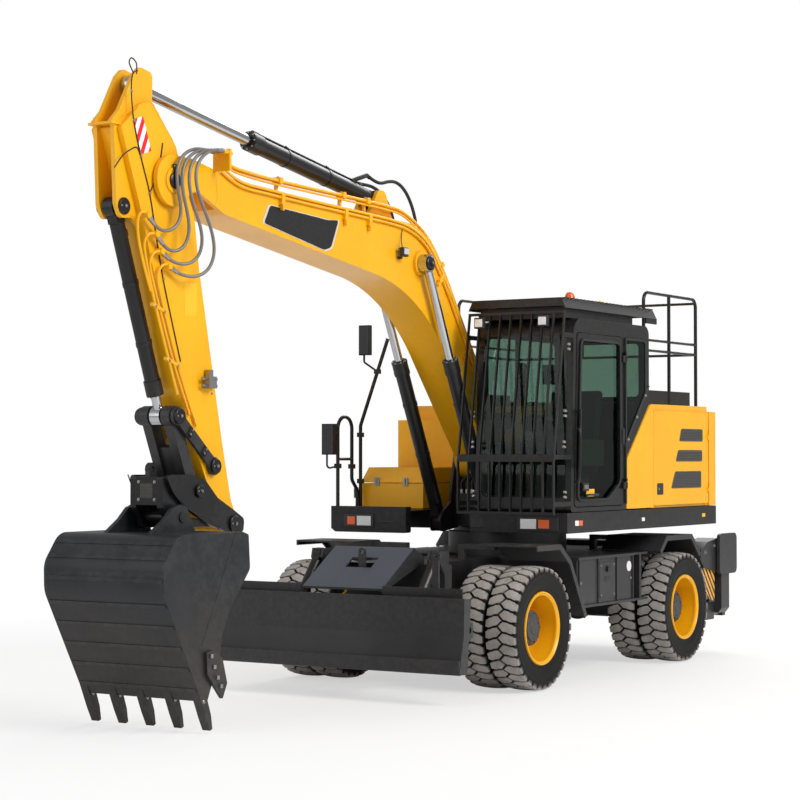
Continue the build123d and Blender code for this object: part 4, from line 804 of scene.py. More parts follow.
def punched_sheet_with_painted_shade():
    """Punched sheet behind a vent, with rows of round holes painted near-black as the shade behind them."""
    made, nodes, shader = surface("vent sheet with painted shade")
    holes = nodes.add("ShaderNodeTexVoronoi", Scale=95.0, Randomness=0.0)
    nodes.feed(holes.inputs["Vector"], nodes.where())
    # the holes are painted shade: near-black for the dark space behind the sheet, the sheet between them dark
    # grey
    mask = nodes.span(holes.outputs["Distance"], 0.32, 0.40)
    nodes.feed(
        shader.inputs["Base Color"], nodes.mix(mask, (0.008, 0.008, 0.008, 1), (0.085, 0.08, 0.075, 1)))
    shader.inputs["Roughness"].default_value = 0.5
    bump(nodes, shader, mask, 0.6, 0.002)
    return made


MATERIALS = {
    "yellow": yellow_paint, "grey": grey_paint, "black": black_paint, "cover": cover_painted_reflection,
    "bucket": bucket_steel, "steel": machined_steel, "chrome": chrome, "tyre": tyre_rubber,
    "hub": cast_iron, "plastic": black_plastic, "rubber": rubber, "hose": hose_guard,
    "seat": seat_cloth, "glass": tinted_glass, "clear": clear_lens, "orange": orange_lens,
    "mirror": mirror_glass, "red_white": red_white, "black_yellow": black_yellow,
    "plate": blank_plate, "plate_rim": plate_rim, "sign": blank_sign, "white": white_sign,
    "pale": bare_board, "vent": punched_sheet_with_painted_shade,
}
FINISHES = {}


def material(name):
    """A finish by its short name, made when it is first asked for."""
    if name not in FINISHES:
        FINISHES[name] = MATERIALS[name]()
    return FINISHES[name]


# ---------------------------------------------------------------- stage
CAMERA = (17095, 9545, 2009)
CAMERA_YAW = 31.934
CAMERA_PITCH = 1.522


class EXCAVATOR_OT_stage(bpy.types.Operator):
    """Set up the camera, the floor and the soft light"""

    bl_idname = "excavator.stage"
    bl_label = "Stage"

    def execute(self, context):
        stage = settings("stage")
        scene = context.scene
        scene.view_settings.view_transform = "Standard"
        camera = bpy.data.objects.new("camera", bpy.data.cameras.new("camera"))
        scene.collection.objects.link(camera)
        scene.camera = camera
        camera.data.lens = stage.lens
        camera.data.clip_end = 200.0
        yaw, pitch = math.radians(CAMERA_YAW), math.radians(CAMERA_PITCH)
        facing = Vector((-math.cos(yaw) * math.cos(pitch), -math.sin(yaw) * math.cos(pitch), math.sin(pitch)))
        camera.location = at(*CAMERA)
        camera.rotation_mode = "QUATERNION"
        camera.rotation_quaternion = facing.to_track_quat("-Z", "Y")
        self.add_floor(scene)
        self.add_light(scene, stage)
        return {"FINISHED"}

    def add_floor(self, scene):
        mesh = bmesh.new()
        half = 90.0
        mesh.faces.new(
            [mesh.verts.new((x * half, y * half, -0.001)) for x, y in ((-1, -1), (1, -1), (1, 1), (-1, 1))])
        data = bpy.data.meshes.new("floor")
        mesh.to_mesh(data)
        mesh.free()
        floor = bpy.data.objects.new("floor", data)
        scene.collection.objects.link(floor)
        made, nodes, shader = surface("pale floor")
        grain = nodes.noise(3.0, 2.0)
        nodes.feed(
            shader.inputs["Base Color"], nodes.mix(grain, (0.86, 0.86, 0.86, 1), (0.89, 0.89, 0.89, 1)))
        shader.inputs["Roughness"].default_value = 0.9
        shader.inputs["Specular IOR Level"].default_value = 0.1
        glow = nodes.add("ShaderNodeEmission", Color=(1, 1, 1, 1), Strength=1.0)
        blend = nodes.add("ShaderNodeMixShader")
        rays = nodes.add("ShaderNodeLightPath")
        away = nodes.add("ShaderNodeVectorMath", operation="LENGTH")
        nodes.feed(away.inputs[0], nodes.where())
        fade = nodes.span(away.outputs["Value"], 2.5, 9.0, 0.55, 1.0)
        seen = nodes.math("MULTIPLY", rays.outputs["Is Camera Ray"], fade)
        nodes.feed(blend.inputs["Fac"], seen)
        nodes.feed(blend.inputs[1], shader.outputs[0])
        nodes.feed(blend.inputs[2], glow.outputs[0])
        nodes.feed(made.node_tree.nodes["Material Output"].inputs["Surface"], blend.outputs[0])
        data.materials.append(made)

    def add_light(self, scene, stage):
        world = bpy.data.worlds.new("studio")
        scene.world = world
        world.use_nodes = True
        nodes = Nodes(world.node_tree)
        back = world.node_tree.nodes["Background"]
        rays = nodes.add("ShaderNodeLightPath")
        seen = nodes.span(rays.outputs["Is Camera Ray"], 0.0, 1.0, stage.sky, 1.0)
        mirrored = nodes.math("MULTIPLY", rays.outputs["Is Glossy Ray"], stage.shine - stage.sky)
        nodes.feed(back.inputs["Strength"], nodes.math("ADD", seen, mirrored))
        back.inputs["Color"].default_value = (1.0, 1.0, 1.0, 1.0)
        lamps = (
            ("key", (3500, 13000, 10500), 7.0, stage.key, (1.0, 0.985, 0.96)),
            ("fill", (14000, -3000, 7000), 9.0, stage.key * 0.2, (0.95, 0.97, 1.0)),
            ("back", (-9000, -2000, 9000), 8.0, stage.key * 0.5, (1.0, 1.0, 1.0)),
        )
        for name, spot, size, power, colour in lamps:
            lamp = bpy.data.lights.new(name, "AREA")
            lamp.energy = power
            lamp.size = size
            lamp.color = colour
            holder = bpy.data.objects.new(name, lamp)
            scene.collection.objects.link(holder)
            holder.location = at(*spot)
            holder.rotation_mode = "QUATERNION"
            aim = at(800, 0, 1500) - holder.location
            holder.rotation_quaternion = aim.to_track_quat("-Z", "Y")


# ---------------------------------------------------------------- the fixed frame's own pieces
FRAME_FINISH = {
    "yellow": (
        "boom", "arm", "engine_hood", "left_hood_door", "right_hood_door", "left_front_panel", "tank",
        "tool_box", "tool_box_lid", "counterweight",
    ),
    "grey": (
        "chassis_frame", "fenders", "front_axle", "rear_axle", "left_knuckle", "right_knuckle", "blade",
        "left_outrigger", "right_outrigger", "blade_eyes", "bucket_link", "side_links",
    ),
    "black": (
        "turntable", "cab_frame", "cab_door", "front_guard", "roof_rails", "step_rail", "boom_barrels",
        "arm_barrel", "bucket_barrel", "blade_barrels", "coupler", "right_mirror", "roof_visor",
    ),
    "bucket": ("bucket",),
    "chrome": ("boom_rods", "arm_rod", "bucket_rod", "blade_rods"),
    "glass": ("cab_glass", "door_glass"),
    "seat": ("seat",),
    "plastic": ("steering_column", "lamps"),
    "hub": ("engine",),
}


class EXCAVATOR_OT_paint(bpy.types.Operator):
    """Give every piece of the fixed frame its finish"""

    bl_idname = "excavator.paint"
    bl_label = "Paint the frame"

    def execute(self, context):
        for finish, names in FRAME_FINISH.items():
            for name in names:
                node = NODES[name]
                node.data.materials.clear()
                node.data.materials.append(material(finish))
        return {"FINISHED"}


# ---------------------------------------------------------------- tyres and wheels
AXLE_Z = 530.0
TYRE_RADIUS = 530.0
HALF_WHEELBASE = 1475.0
TYRE_OUTER = 1250.0
TYRE_WIDTH = 275.0
TWIN_GAP = 40.0
RIM_RADIUS = 303.0
ENDS = (("front", 1), ("rear", -1))
HANDS = (("left", 1), ("right", -1))
# the tyre's section without its lugs, as (part of the half width, radius)
CARCASS = (
    (0.80, 300), (0.86, 312), (0.90, 322), (0.885, 330), (0.93, 350), (0.975, 385), (1.0, 425), (0.995, 452),
    (1.012, 458), (1.0, 464), (0.975, 490), (0.93, 503), (0.60, 507), (0.0, 508),
)


class TyreShape:
    """One tyre about its own axis: a carcass and two rows of lugs that meet in a zigzag."""

    def __init__(self, centre_x, centre_y):
        tyres = settings("tyres")
        self.centre = (centre_x, centre_y)
        self.lugs = tyres.lugs
        self.depth = tyres.depth * 1000
        self.groove = tyres.groove * 1000
        self.half = TYRE_WIDTH / 2

    def point(self, turn, across, radius):
        x = self.centre[0] + radius * math.sin(turn)
        z = AXLE_Z + radius * math.cos(turn)
        return at(x, self.centre[1] + across, z)

    def carcass(self, shape, segments=108):
        section = [(-a * self.half, r) for a, r in CARCASS]
        section += [(a * self.half, r) for a, r in reversed(CARCASS[:-1])]
        rings = []
        for i in range(segments):
            turn = math.tau * i / segments
            rings.append([shape.mesh.verts.new(self.point(turn, a, r)) for a, r in section])
        count = len(section)
        for i in range(segments):
            here, there = rings[i], rings[(i + 1) % segments]
            for k in range(count):
                m = (k + 1) % count
                shape.mesh.faces.new([here[k], here[m], there[m], there[k]])

    def crown(self, across):
        """The tread is a little lower towards its edges."""
        return 529.5 - 11.0 * (abs(across) / self.half) ** 2.6

    def lug(self, shape, ground, middle, hand):
        """A lug from the zigzag at the middle to the edge, and a short way down the side."""
        pitch = math.tau * TYRE_RADIUS / self.lugs
        gap = self.groove / 2
        zigzag = 20.0
        edge = self.half + 1.0
        # rows across the tread: (distance from the middle line, lean along the tyre, half length)
        body = pitch / 2 - gap * 0.62
        foot = pitch / 2 - gap * 1.15
        rows = (
            (30, 2, body), (70, 7, body), (74, 13, body), (108, 21, body), (128, 26, foot),
            (edge - 1, 28, foot))
        steps = (-1.0, -0.5, 0.0, 0.5, 1.0)
        outline = []
        for step in steps:
            inner = zigzag * (1 - 2 * (1 - abs(step))) + gap * 0.55
            outline.append((step * body, inner))
        rows_all = [[(u, v) for u, v in outline]]
        for across, lean, half in rows:
            rows_all.append([(step * half + lean, across) for step in steps])
        # the surface, and the same outline down at the groove's floor
        side_rows = ((edge, 28, foot - 1, 495), (edge - 1.5, 28, foot - 5, 476))
        surface_rows = []
        for row in rows_all:
            surface_rows.append([(u, v, self.crown(v)) for u, v in row])
        for across, lean, half, radius in side_rows:
            surface_rows.append([(step * half + lean, across, radius) for step in steps])
        grid = []
        for r, row in enumerate(surface_rows):
            line = []
            for c, (u, v, radius) in enumerate(row):
                vert = shape.mesh.verts.new(self.point(middle + u / TYRE_RADIUS, hand * v, radius))
                line.append(vert)
                if r <= len(rows_all):
                    vert[ground] = Vector((1.0, 1.0, 1.0)) * (1.0 if r < len(rows_all) else 0.35)
            grid.append(line)
        rim = grid[0] + [line[-1] for line in grid[1:]] + list(reversed(grid[-1][:-1]))
        rim += [line[0] for line in reversed(grid[1:-1])]
        flat = [(r, c) for r in (0,) for c in range(5)]
        flat += [(r, 4) for r in range(1, len(grid))]
        flat += [(len(grid) - 1, c) for c in (3, 2, 1, 0)]
        flat += [(r, 0) for r in range(len(grid) - 2, 0, -1)]
        base = []
        for r, c in flat:
            u, v, radius = surface_rows[r][c]
            deep = radius - self.depth if r < len(rows_all) else radius - 10
            inset = 12.0 if r >= len(rows_all) else 0.0
            grow = 2.5 * (1 if c == 4 else -1 if c == 0 else 0)
            base.append(shape.mesh.verts.new(self.point(middle + (u + grow) / 530, hand * (v - inset), deep)))
        for r in range(len(grid) - 1):
            for c in range(4):
                quad = [grid[r][c], grid[r][c + 1], grid[r + 1][c + 1], grid[r + 1][c]]
                shape.mesh.faces.new(quad)
        count = len(rim)
        for i in range(count):
            j = (i + 1) % count
            shape.mesh.faces.new([rim[i], base[i], base[j], rim[j]])
        shape.mesh.faces.new(base)

    def build(self, shape, ground):
        self.carcass(shape)
        for i in range(self.lugs):
            for hand in (1, -1):
                turn = math.tau * (i + (0.5 if hand < 0 else 0.0)) / self.lugs
                self.lug(shape, ground, turn, hand)


class EXCAVATOR_OT_tyres(bpy.types.Operator):
    """Mould the eight tyres, two to a wheel, with their lugs"""

    bl_idname = "excavator.tyres"
    bl_label = "Tyres"

    def execute(self, context):
        for end, way in ENDS:
            for hand, side in HANDS:
                name = f"{end}_{hand}"
                shape = Shape()
                ground = shape.mesh.verts.layers.float_vector.new("ground")
                for outer in (TYRE_OUTER, TYRE_OUTER - TYRE_WIDTH - TWIN_GAP):
                    middle = side * (outer - TYRE_WIDTH / 2)
                    TyreShape(way * HALF_WHEELBASE, middle).build(shape, ground)
                shape.piece(
                    f"{name}_treads", f"{name}_wheels", "tyre", "tyre", smooth=32,
                    stands_for=(f"{name}_tyres",))
        return {"FINISHED"}


class EXCAVATOR_OT_wheels(bpy.types.Operator):
    """Paint the rims and add their nuts, flanges, valves and hub covers"""

    bl_idname = "excavator.wheels"
    bl_label = "Wheels"

    def execute(self, context):
        for end, way in ENDS:
            for hand, side in HANDS:
                name = f"{end}_{hand}"
                node = NODES[f"{name}_wheel"]
                node.data.materials.clear()
                node.data.materials.append(material("yellow"))
                centre_x = way * HALF_WHEELBASE
                self.flanges(name, centre_x, side)
                self.hub(name, centre_x, side)
        return {"FINISHED"}

    def flanges(self, name, x, side):
        """The rolled edge of the rim and its lock ring."""
        shape = Shape()
        lip = TYRE_OUTER - 16
        shape.ring(
            (x, side * lip, AXLE_Z), (0, side, 0),
            [(-26, RIM_RADIUS - 22), (-26, RIM_RADIUS + 8), (2, RIM_RADIUS + 12), (12, RIM_RADIUS + 8),
             (13, RIM_RADIUS - 2), (4, RIM_RADIUS - 10), (-4, RIM_RADIUS - 22)], sides=72)
        shape.piece(f"{name}_rim_edge", f"{name}_wheels", "yellow", "yellow_paint", bevel=1.5)

    def hub(self, name, x, side):
        shape = Shape()
        shape.turned(
            (x, side * 1141, AXLE_Z), (0, side, 0),
            [(-168, 158), (-12, 152), (0, 140), (3, 120), (16, 112), (18, 60), (24, 54), (25, 0.5)], sides=56)
        for i in range(10):
            turn = math.tau * i / 10
            spot = (x + 128 * math.cos(turn), side * 1141, AXLE_Z + 128 * math.sin(turn))
            shape.bolt(spot, (0, side, 0), 15)
        for i in range(3):
            turn = math.tau * (i / 3 + 0.1)
            spot = (x + 86 * math.cos(turn), side * 1157, AXLE_Z + 86 * math.sin(turn))
            shape.bolt(spot, (0, side, 0), 13)
        shape.piece(f"{name}_hub_cover", f"{name}_wheels", "hub", "steel", bevel=1.5)
        nuts = Shape()
        for i in range(10):
            turn = math.tau * (i + 0.5) / 10
            spot = (x + 205 * math.cos(turn), side * 975, AXLE_Z + 205 * math.sin(turn))
            nuts.bolt(spot, (0, side, 0), 22)
            tip = (spot[0], side * 1002, spot[2])
            nuts.rod(spot, tip, 10, sides=10)
        nuts.rod((x + 262, side * 1000, AXLE_Z + 20), (x + 250, side * 1100, AXLE_Z + 20), 6, sides=10)
        nuts.piece(f"{name}_nuts", f"{name}_wheels", "steel", "steel")


# ---------------------------------------------------------------- hoses and pipes
# the hoses' routes, from the boom's pipe ends to the arm, as (X, Y, Z)
ARM_HOSES = {
    "first_hose": [
        (4702, 158, 4290), (4800, 158, 4294), (4920, 158, 4285), (5035, 158, 4240), (5115, 158, 4155),
        (5135, 158, 4045), (5112, 158, 3935), (5078, 158, 3830), (5088, 154, 3735), (5150, 142, 3663),
        (5240, 124, 3640), (5318, 112, 3668), (5378, 112, 3718),
    ],
    "second_hose": [
        (4702, 186, 4290), (4795, 186, 4290), (4905, 186, 4272), (5010, 186, 4222), (5085, 186, 4142),
        (5108, 186, 4032), (5088, 186, 3920), (5045, 186, 3810), (5012, 184, 3698), (5022, 175, 3595),
        (5075, 156, 3518), (5155, 130, 3500), (5225, 112, 3535), (5280, 112, 3585),
    ],
    "third_hose": [
        (4702, 214, 4290), (4790, 214, 4288), (4890, 214, 4262), (4985, 214, 4208), (5048, 214, 4122),
        (5060, 214, 4015), (5028, 214, 3905), (4975, 214, 3800), (4915, 214, 3695), (4886, 208, 3590),
        (4905, 195, 3490), (4975, 170, 3425), (5065, 140, 3412), (5148, 112, 3435), (5212, 112, 3472),
    ],
    "fourth_hose": [
        (4702, 242, 4290), (4785, 242, 4286), (4880, 242, 4255), (4962, 242, 4195), (5014, 242, 4105),
        (5008, 242, 4000), (4960, 242, 3900), (4892, 242, 3800), (4830, 242, 3700), (4786, 240, 3592),
        (4776, 232, 3485), (4815, 212, 3388), (4893, 180, 3335), (4982, 145, 3328), (5060, 112, 3348),
        (5120, 112, 3374),
    ],
}
RAM_HOSES = {
    "long_ram_hose": [
        (2180, -60, 4398), (2090, -60, 4372), (1995, -60, 4366), (1900, -60, 4392), (1800, -60, 4408),
        (1700, -60, 4396), (1605, -60, 4350), (1520, -60, 4272), (1455, -60, 4172), (1415, -60, 4075),
        (1396, -60, 3980), (1396, -60, 3895),
    ],
    "short_ram_hose": [
        (2230, -100, 4335), (2150, -100, 4338), (2060, -100, 4330), (1970, -100, 4306),
        (1885, -100, 4262), (1810, -100, 4200), (1755, -100, 4125), (1725, -100, 4055),
    ],
}
RAM_HOSE_RADIUS = 0.015


def spline_points(route):
    """Close points along the smooth line that a route's points control."""
    curve = bpy.data.curves.new("route", "CURVE")
    curve.dimensions = "3D"
    curve.resolution_u = 24
    spline = curve.splines.new("NURBS")
    spline.points.add(len(route) - 1)
    for point, spot in zip(spline.points, route):
        point.co = (*at(*spot), 1.0)
    spline.order_u = 3
    spline.use_endpoint_u = True
    holder = bpy.data.objects.new("route", curve)
    line = bpy.data.meshes.new_from_object(holder)
    points = [vert.co.copy() for vert in line.vertices]
    bpy.data.meshes.remove(line)
    bpy.data.objects.remove(holder)
    bpy.data.curves.remove(curve)
    return points


def evenly(points, step):
    """Points a fixed step apart along a line of close points."""
    out = [points[0]]
    left = step
    for a, b in zip(points, points[1:]):
        run = (b - a).length
        done = 0.0
        while run - done > left:
            done += left
            out.append(a.lerp(b, done / run))
            left = step
        left -= run - done
    out.append(points[-1])
    return out


class EXCAVATOR_OT_hoses(bpy.types.Operator):
    """Hang the hoses that cross the arm's pin, with their spiral guards, and those of the arm's ram"""

    bl_idname = "excavator.hoses"
    bl_label = "Hoses"

    def execute(self, context):
        hoses = settings("hoses")
        for name, route in ARM_HOSES.items():
            fine = spline_points(route)
            step = hoses.wrap_pitch / 4
            path = evenly(fine, step)
            shape = Shape()
            ridge = (0.94, 1.0, 1.0, 0.94)
            shape.tube(path, hoses.hose_radius * 1000, sides=14, wave=lambda i: ridge[i % 4])
            piece = shape.piece(f"{name}_line", None, "hose", "hose", smooth=60, stands_for=(name,))
            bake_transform(piece)
            self.ferrules(name, fine, hoses.hose_radius * 1000)
        for name, route in RAM_HOSES.items():
            fine = spline_points(route)
            shape = Shape()
            shape.tube(evenly(fine, 0.012), RAM_HOSE_RADIUS * 1000, sides=16)
            piece = shape.piece(f"{name}_line", None, "rubber", "hose", smooth=60, stands_for=(name,))
            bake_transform(piece)
        return {"FINISHED"}

    def ferrules(self, name, fine, radius):
        """The pressed steel ends and hexagon nuts at both ends of a hose."""
        for end, points, body in (("start", fine, "boom"), ("end", fine[::-1], "arm")):
            near = [points[0] + (points[0] - points[1]).normalized() * 0.02, points[0]]
            length = 0.0
            for a, b in zip(points, points[1:]):
                near.append(b)
                length += (b - a).length
                if length > 0.05:
                    break
            shape = Shape()
            shape.tube(near, radius + 3.5, sides=18)
            shape.tube(near[:2], radius + 8, sides=6)
            shape.piece(f"{name}_{end}_ferrule", body, "steel", "steel", bevel=1.0)


# the routes of the two rows of pipes, over the boom's top and down towards its foot, as (X, Z)
UPPER_PIPE = (
    (4520, 4267), (4420, 4240), (4300, 4212), (3900, 4186), (3300, 4172), (2600, 4158), (2150, 4146),
    (1900, 4122), (1620, 4020), (1400, 3880), (1180, 3640), (980, 3370), (620, 2880), (330, 2480),
    (250, 2330),
)
LOWER_PIPE = (
    (4560, 4168), (4300, 4076), (3900, 4052), (3300, 4030), (2600, 4008), (2100, 3990), (1830, 3960),
    (1600, 3880), (1420, 3745), (1180, 3470), (960, 3170), (640, 2730), (380, 2370), (300, 2230),
)


def offset_route(route, distance):
    """A route in X and Z moved sideways by a distance."""
    out = []
    for i, spot in enumerate(route):
        before, after = route[max(i - 1, 0)], route[min(i + 1, len(route) - 1)]
        along = Vector((after[0] - before[0], after[1] - before[1])).normalized()
        out.append((spot[0] + along.y * distance, spot[1] - along.x * distance))
    return out


def pipe_path(route, y):
    return smooth_path([at(x, y, z) for x, z in route], 6)


class EXCAVATOR_OT_boom_pipes(bpy.types.Operator):
    """Lay the steel pipes along the boom's left edge, with their clamps"""

    bl_idname = "excavator.boom_pipes"
    bl_label = "Boom pipes"

    def execute(self, context):
        radius = settings("hoses").pipe_radius * 1000
        shape = Shape()
        for y in (60, 95):
            shape.tube(pipe_path(UPPER_PIPE, y), radius, sides=14)
        shape.tube(pipe_path(offset_route(UPPER_PIPE, -36), 100), radius * 0.7, sides=12)
        for shift in (0, 34):
            shape.tube(pipe_path(offset_route(LOWER_PIPE, shift), 126), radius, sides=14)
        for y, turn in ((158, 0), (186, 1), (214, 2), (242, 3)):
            ends = [
                at(4598, y, 4290), at(4560, y - 12, 4288), at(4500, 100 + 10 * turn, 4268),
                at(4400, 98, 4236)]
            shape.tube(smooth_path(ends, 8), radius, sides=14)
        shape.piece("boom_pipes", "boom", "yellow", "yellow_paint", smooth=60)
        self.clamps()
        return {"FINISHED"}

    def clamps(self):
        """A clamp at each place of a row, as its X, Z and lean in radians."""
        clamps, bolts = Shape(), Shape()
        upper = (
            (3742, 4183, 0.03), (2832, 4163, 0.02), (2463, 4155, 0.02), (1241, 3705, 0.8), (760, 3070, 0.92))
        lower = (
            (3750, 4032, 0.03), (2840, 4000, 0.02), (2471, 3988, 0.02), (1298, 3578, 0.8), (808, 2935, 0.92))
        for row, y, half in ((upper, (38, 120), 26), (lower, (108, 146), 44)):
            for x, z, lean in row:
                way = Vector((math.cos(lean), math.sin(lean)))
                self.clamp(clamps, bolts, (x, z), way, y, half)
        clamps.piece("boom_pipe_clamps", "boom", "yellow", "yellow_paint", bevel=3)
        bolts.piece("boom_clamp_bolts", "boom", "steel", "steel")

    def clamp(self, clamps, bolts, spot, way, y, half):
        """A block round a row of pipes, on a foot, with a bolt through its top."""
        x, z = spot
        up = Vector((-way.y, way.x))
        corners = []
        for along, rise in ((-22, -half), (22, -half), (22, half), (-22, half)):
            corners.append((x + way.x * along + up.x * rise, z + way.y * along + up.y * rise))
        clamps.plate(corners, y)
        foot = [
            (x + way.x * a + up.x * r, z + way.y * a + up.y * r)
            for a, r in ((-12, -90), (12, -90), (12, 0), (-12, 0))]
        clamps.plate(foot, (y[0] + 12, y[0] + 40))
        head = (x + up.x * half, (y[0] + y[1]) / 2, z + up.y * half)
        bolts.bolt(head, (up.x, 0, up.y), 16)


# ---------------------------------------------------------------- boom, arm and rams
BOOM_LEFT = 110.0
BOOM_RIGHT = -270.0
ARM_LEFT = 60.0
ARM_RIGHT = -220.0
BOOM_MIDDLE = -80.0
# pins, as (X, Z)
ARM_PIN = (5110, 4028)
BOOM_RAM_PIN = (1644, 3686)
SIDE_LINK_PIN = (4579, 1924)
LINK_PIN = (5022, 2296)


def bead(shape, path, radius, step=0.006):
    """A bead of weld along close points in metres, with a ripple at each step."""
    shape.tube(evenly(path, step), radius, sides=7, wave=lambda i: (1.0, 0.86, 0.94)[i % 3])


def weld(shape, spots, radius=4.5):
    """A bead of weld along points of the drawing."""
    bead(shape, [at(*spot) for spot in spots], radius)


def arc(centre, radius, start, end, steps=24):
    """Points of an arc in X and Z, with its angles in degrees from +X towards +Z."""
    out = []
    for i in range(steps + 1):
        turn = math.radians(start + (end - start) * i / steps)
        out.append((centre[0] + radius * math.cos(turn), centre[1] + radius * math.sin(turn)))
    return out


class EXCAVATOR_OT_boom(bpy.types.Operator):
    """Fit the boom's blank plate, lamp, pin covers and weld beads"""

    bl_idname = "excavator.boom"
    bl_label = "Boom fittings"

    def execute(self, context):
        self.plates()
        self.lamp()
        self.pins()
        self.welds()
        return {"FINISHED"}

    def plates(self):
        outline = [(3914, 3978), (3060, 3938), (2901, 3950), (3010, 3705), (3110, 3672), (3998, 3823)]
        for name, inwards, finish, out in (
            ("boom_plate_rim", 0, "plate_rim", 3.5), ("boom_plate", 24, "plate", 6.0),
        ):
            points = framed(outline, inwards, Vector((3455, 3835)))
            for hand, y in (
                ("left", (BOOM_LEFT - 1, BOOM_LEFT + out)), ("right", (BOOM_RIGHT - out, BOOM_RIGHT + 1)),
            ):
                shape = Shape()
                shape.plate(rounded(points, 30), y)
                shape.piece(f"{hand}_{name}", "boom", finish, "lamp", bevel=1.2)

    def lamp(self):
        face = 196.0
        case = Shape()
        case.slab((1944, 2034), (150, face - 2), (3718, 3798))
        case.slab((1974, 2004), (BOOM_LEFT - 3, 152), (3700, 3722))
        case.piece("boom_lamp_case", "boom", "plastic", "black_plastic", bevel=8, segments=3)
        lens = Shape()
        lens.slab((1954, 2024), (face - 2, face + 5), (3736, 3788))
        lens.piece("boom_lamp_lens", "boom", "clear", "lamp", bevel=5, segments=3)
        body = Shape()
        for z in range(5):
            body.slab((1950, 2028), (face - 62, face - 48), (3730 + 14 * z, 3736 + 14 * z))
        cable = [at(1984, 150, 3800), at(1970, 135, 3850), at(1950, 122, 3900), at(1935, 120, 3960)]
        body.tube(smooth_path(cable), 4)
        body.bolt((1989, 135, 3718), (0, 0, -1), 12)
        body.piece("boom_lamp_fins", "boom", "plastic", "black_plastic", bevel=1)

    def pins(self):
        """Keeper plates and end caps on the boom's pins."""
        caps, bolts = Shape(), Shape()
        for side, face in ((1, BOOM_LEFT + 12), (-1, BOOM_RIGHT - 12)):
            caps.turned(
                (5110, face, 4028), (0, side, 0),
                [(-3, 62), (12, 62), (18, 52), (19, 20), (22, 18), (23, 0.5)])
            caps.plate(
                rounded([(5095, 4090), (5125, 4090), (5140, 4150), (5080, 4150)], 12),
                sorted((face, face + side * 10)))
            for dx in both(14):
                bolts.bolt((5110 + dx, face + side * 10, 4132), (0, side, 0), 13)
        for side in (1, -1):
            face = BOOM_MIDDLE + side * 309
            caps.turned(
                (1644, face, 3686), (0, side, 0),
                [(-50, 62), (8, 62), (14, 54), (15, 22), (26, 20), (27, 0.5)])
            bolts.bolt((1644, face + side * 24, 3686), (0, side, 0), 17)
        caps.piece("boom_pin_caps", "boom", "black", "black_paint", bevel=1.5)
        bolts.piece("boom_pin_bolts", "boom", "steel", "steel")

    def welds(self):
        shape = Shape()
        for y in (BOOM_LEFT, BOOM_RIGHT):
            for centre, size, start, end in (
                (BOOM_RAM_PIN, 112, 0, 360), (ARM_PIN, 101, 0, 360), ((200, 1970), 186, -10, 190),
            ):
                weld(shape, [(x, y, z) for x, z in arc(centre, size, start, end, 48)])
            weld(shape, [(4558, y, 4150), (4590, y, 4060), (4570, y, 3960), (4600, y, 3895)], 5)
            weld(shape, [(700, y, 2960), (760, y, 2880), (900, y, 2790), (920, y, 2650)], 5)
        shape.piece("boom_welds", "boom", "yellow", "yellow_paint", smooth=60)


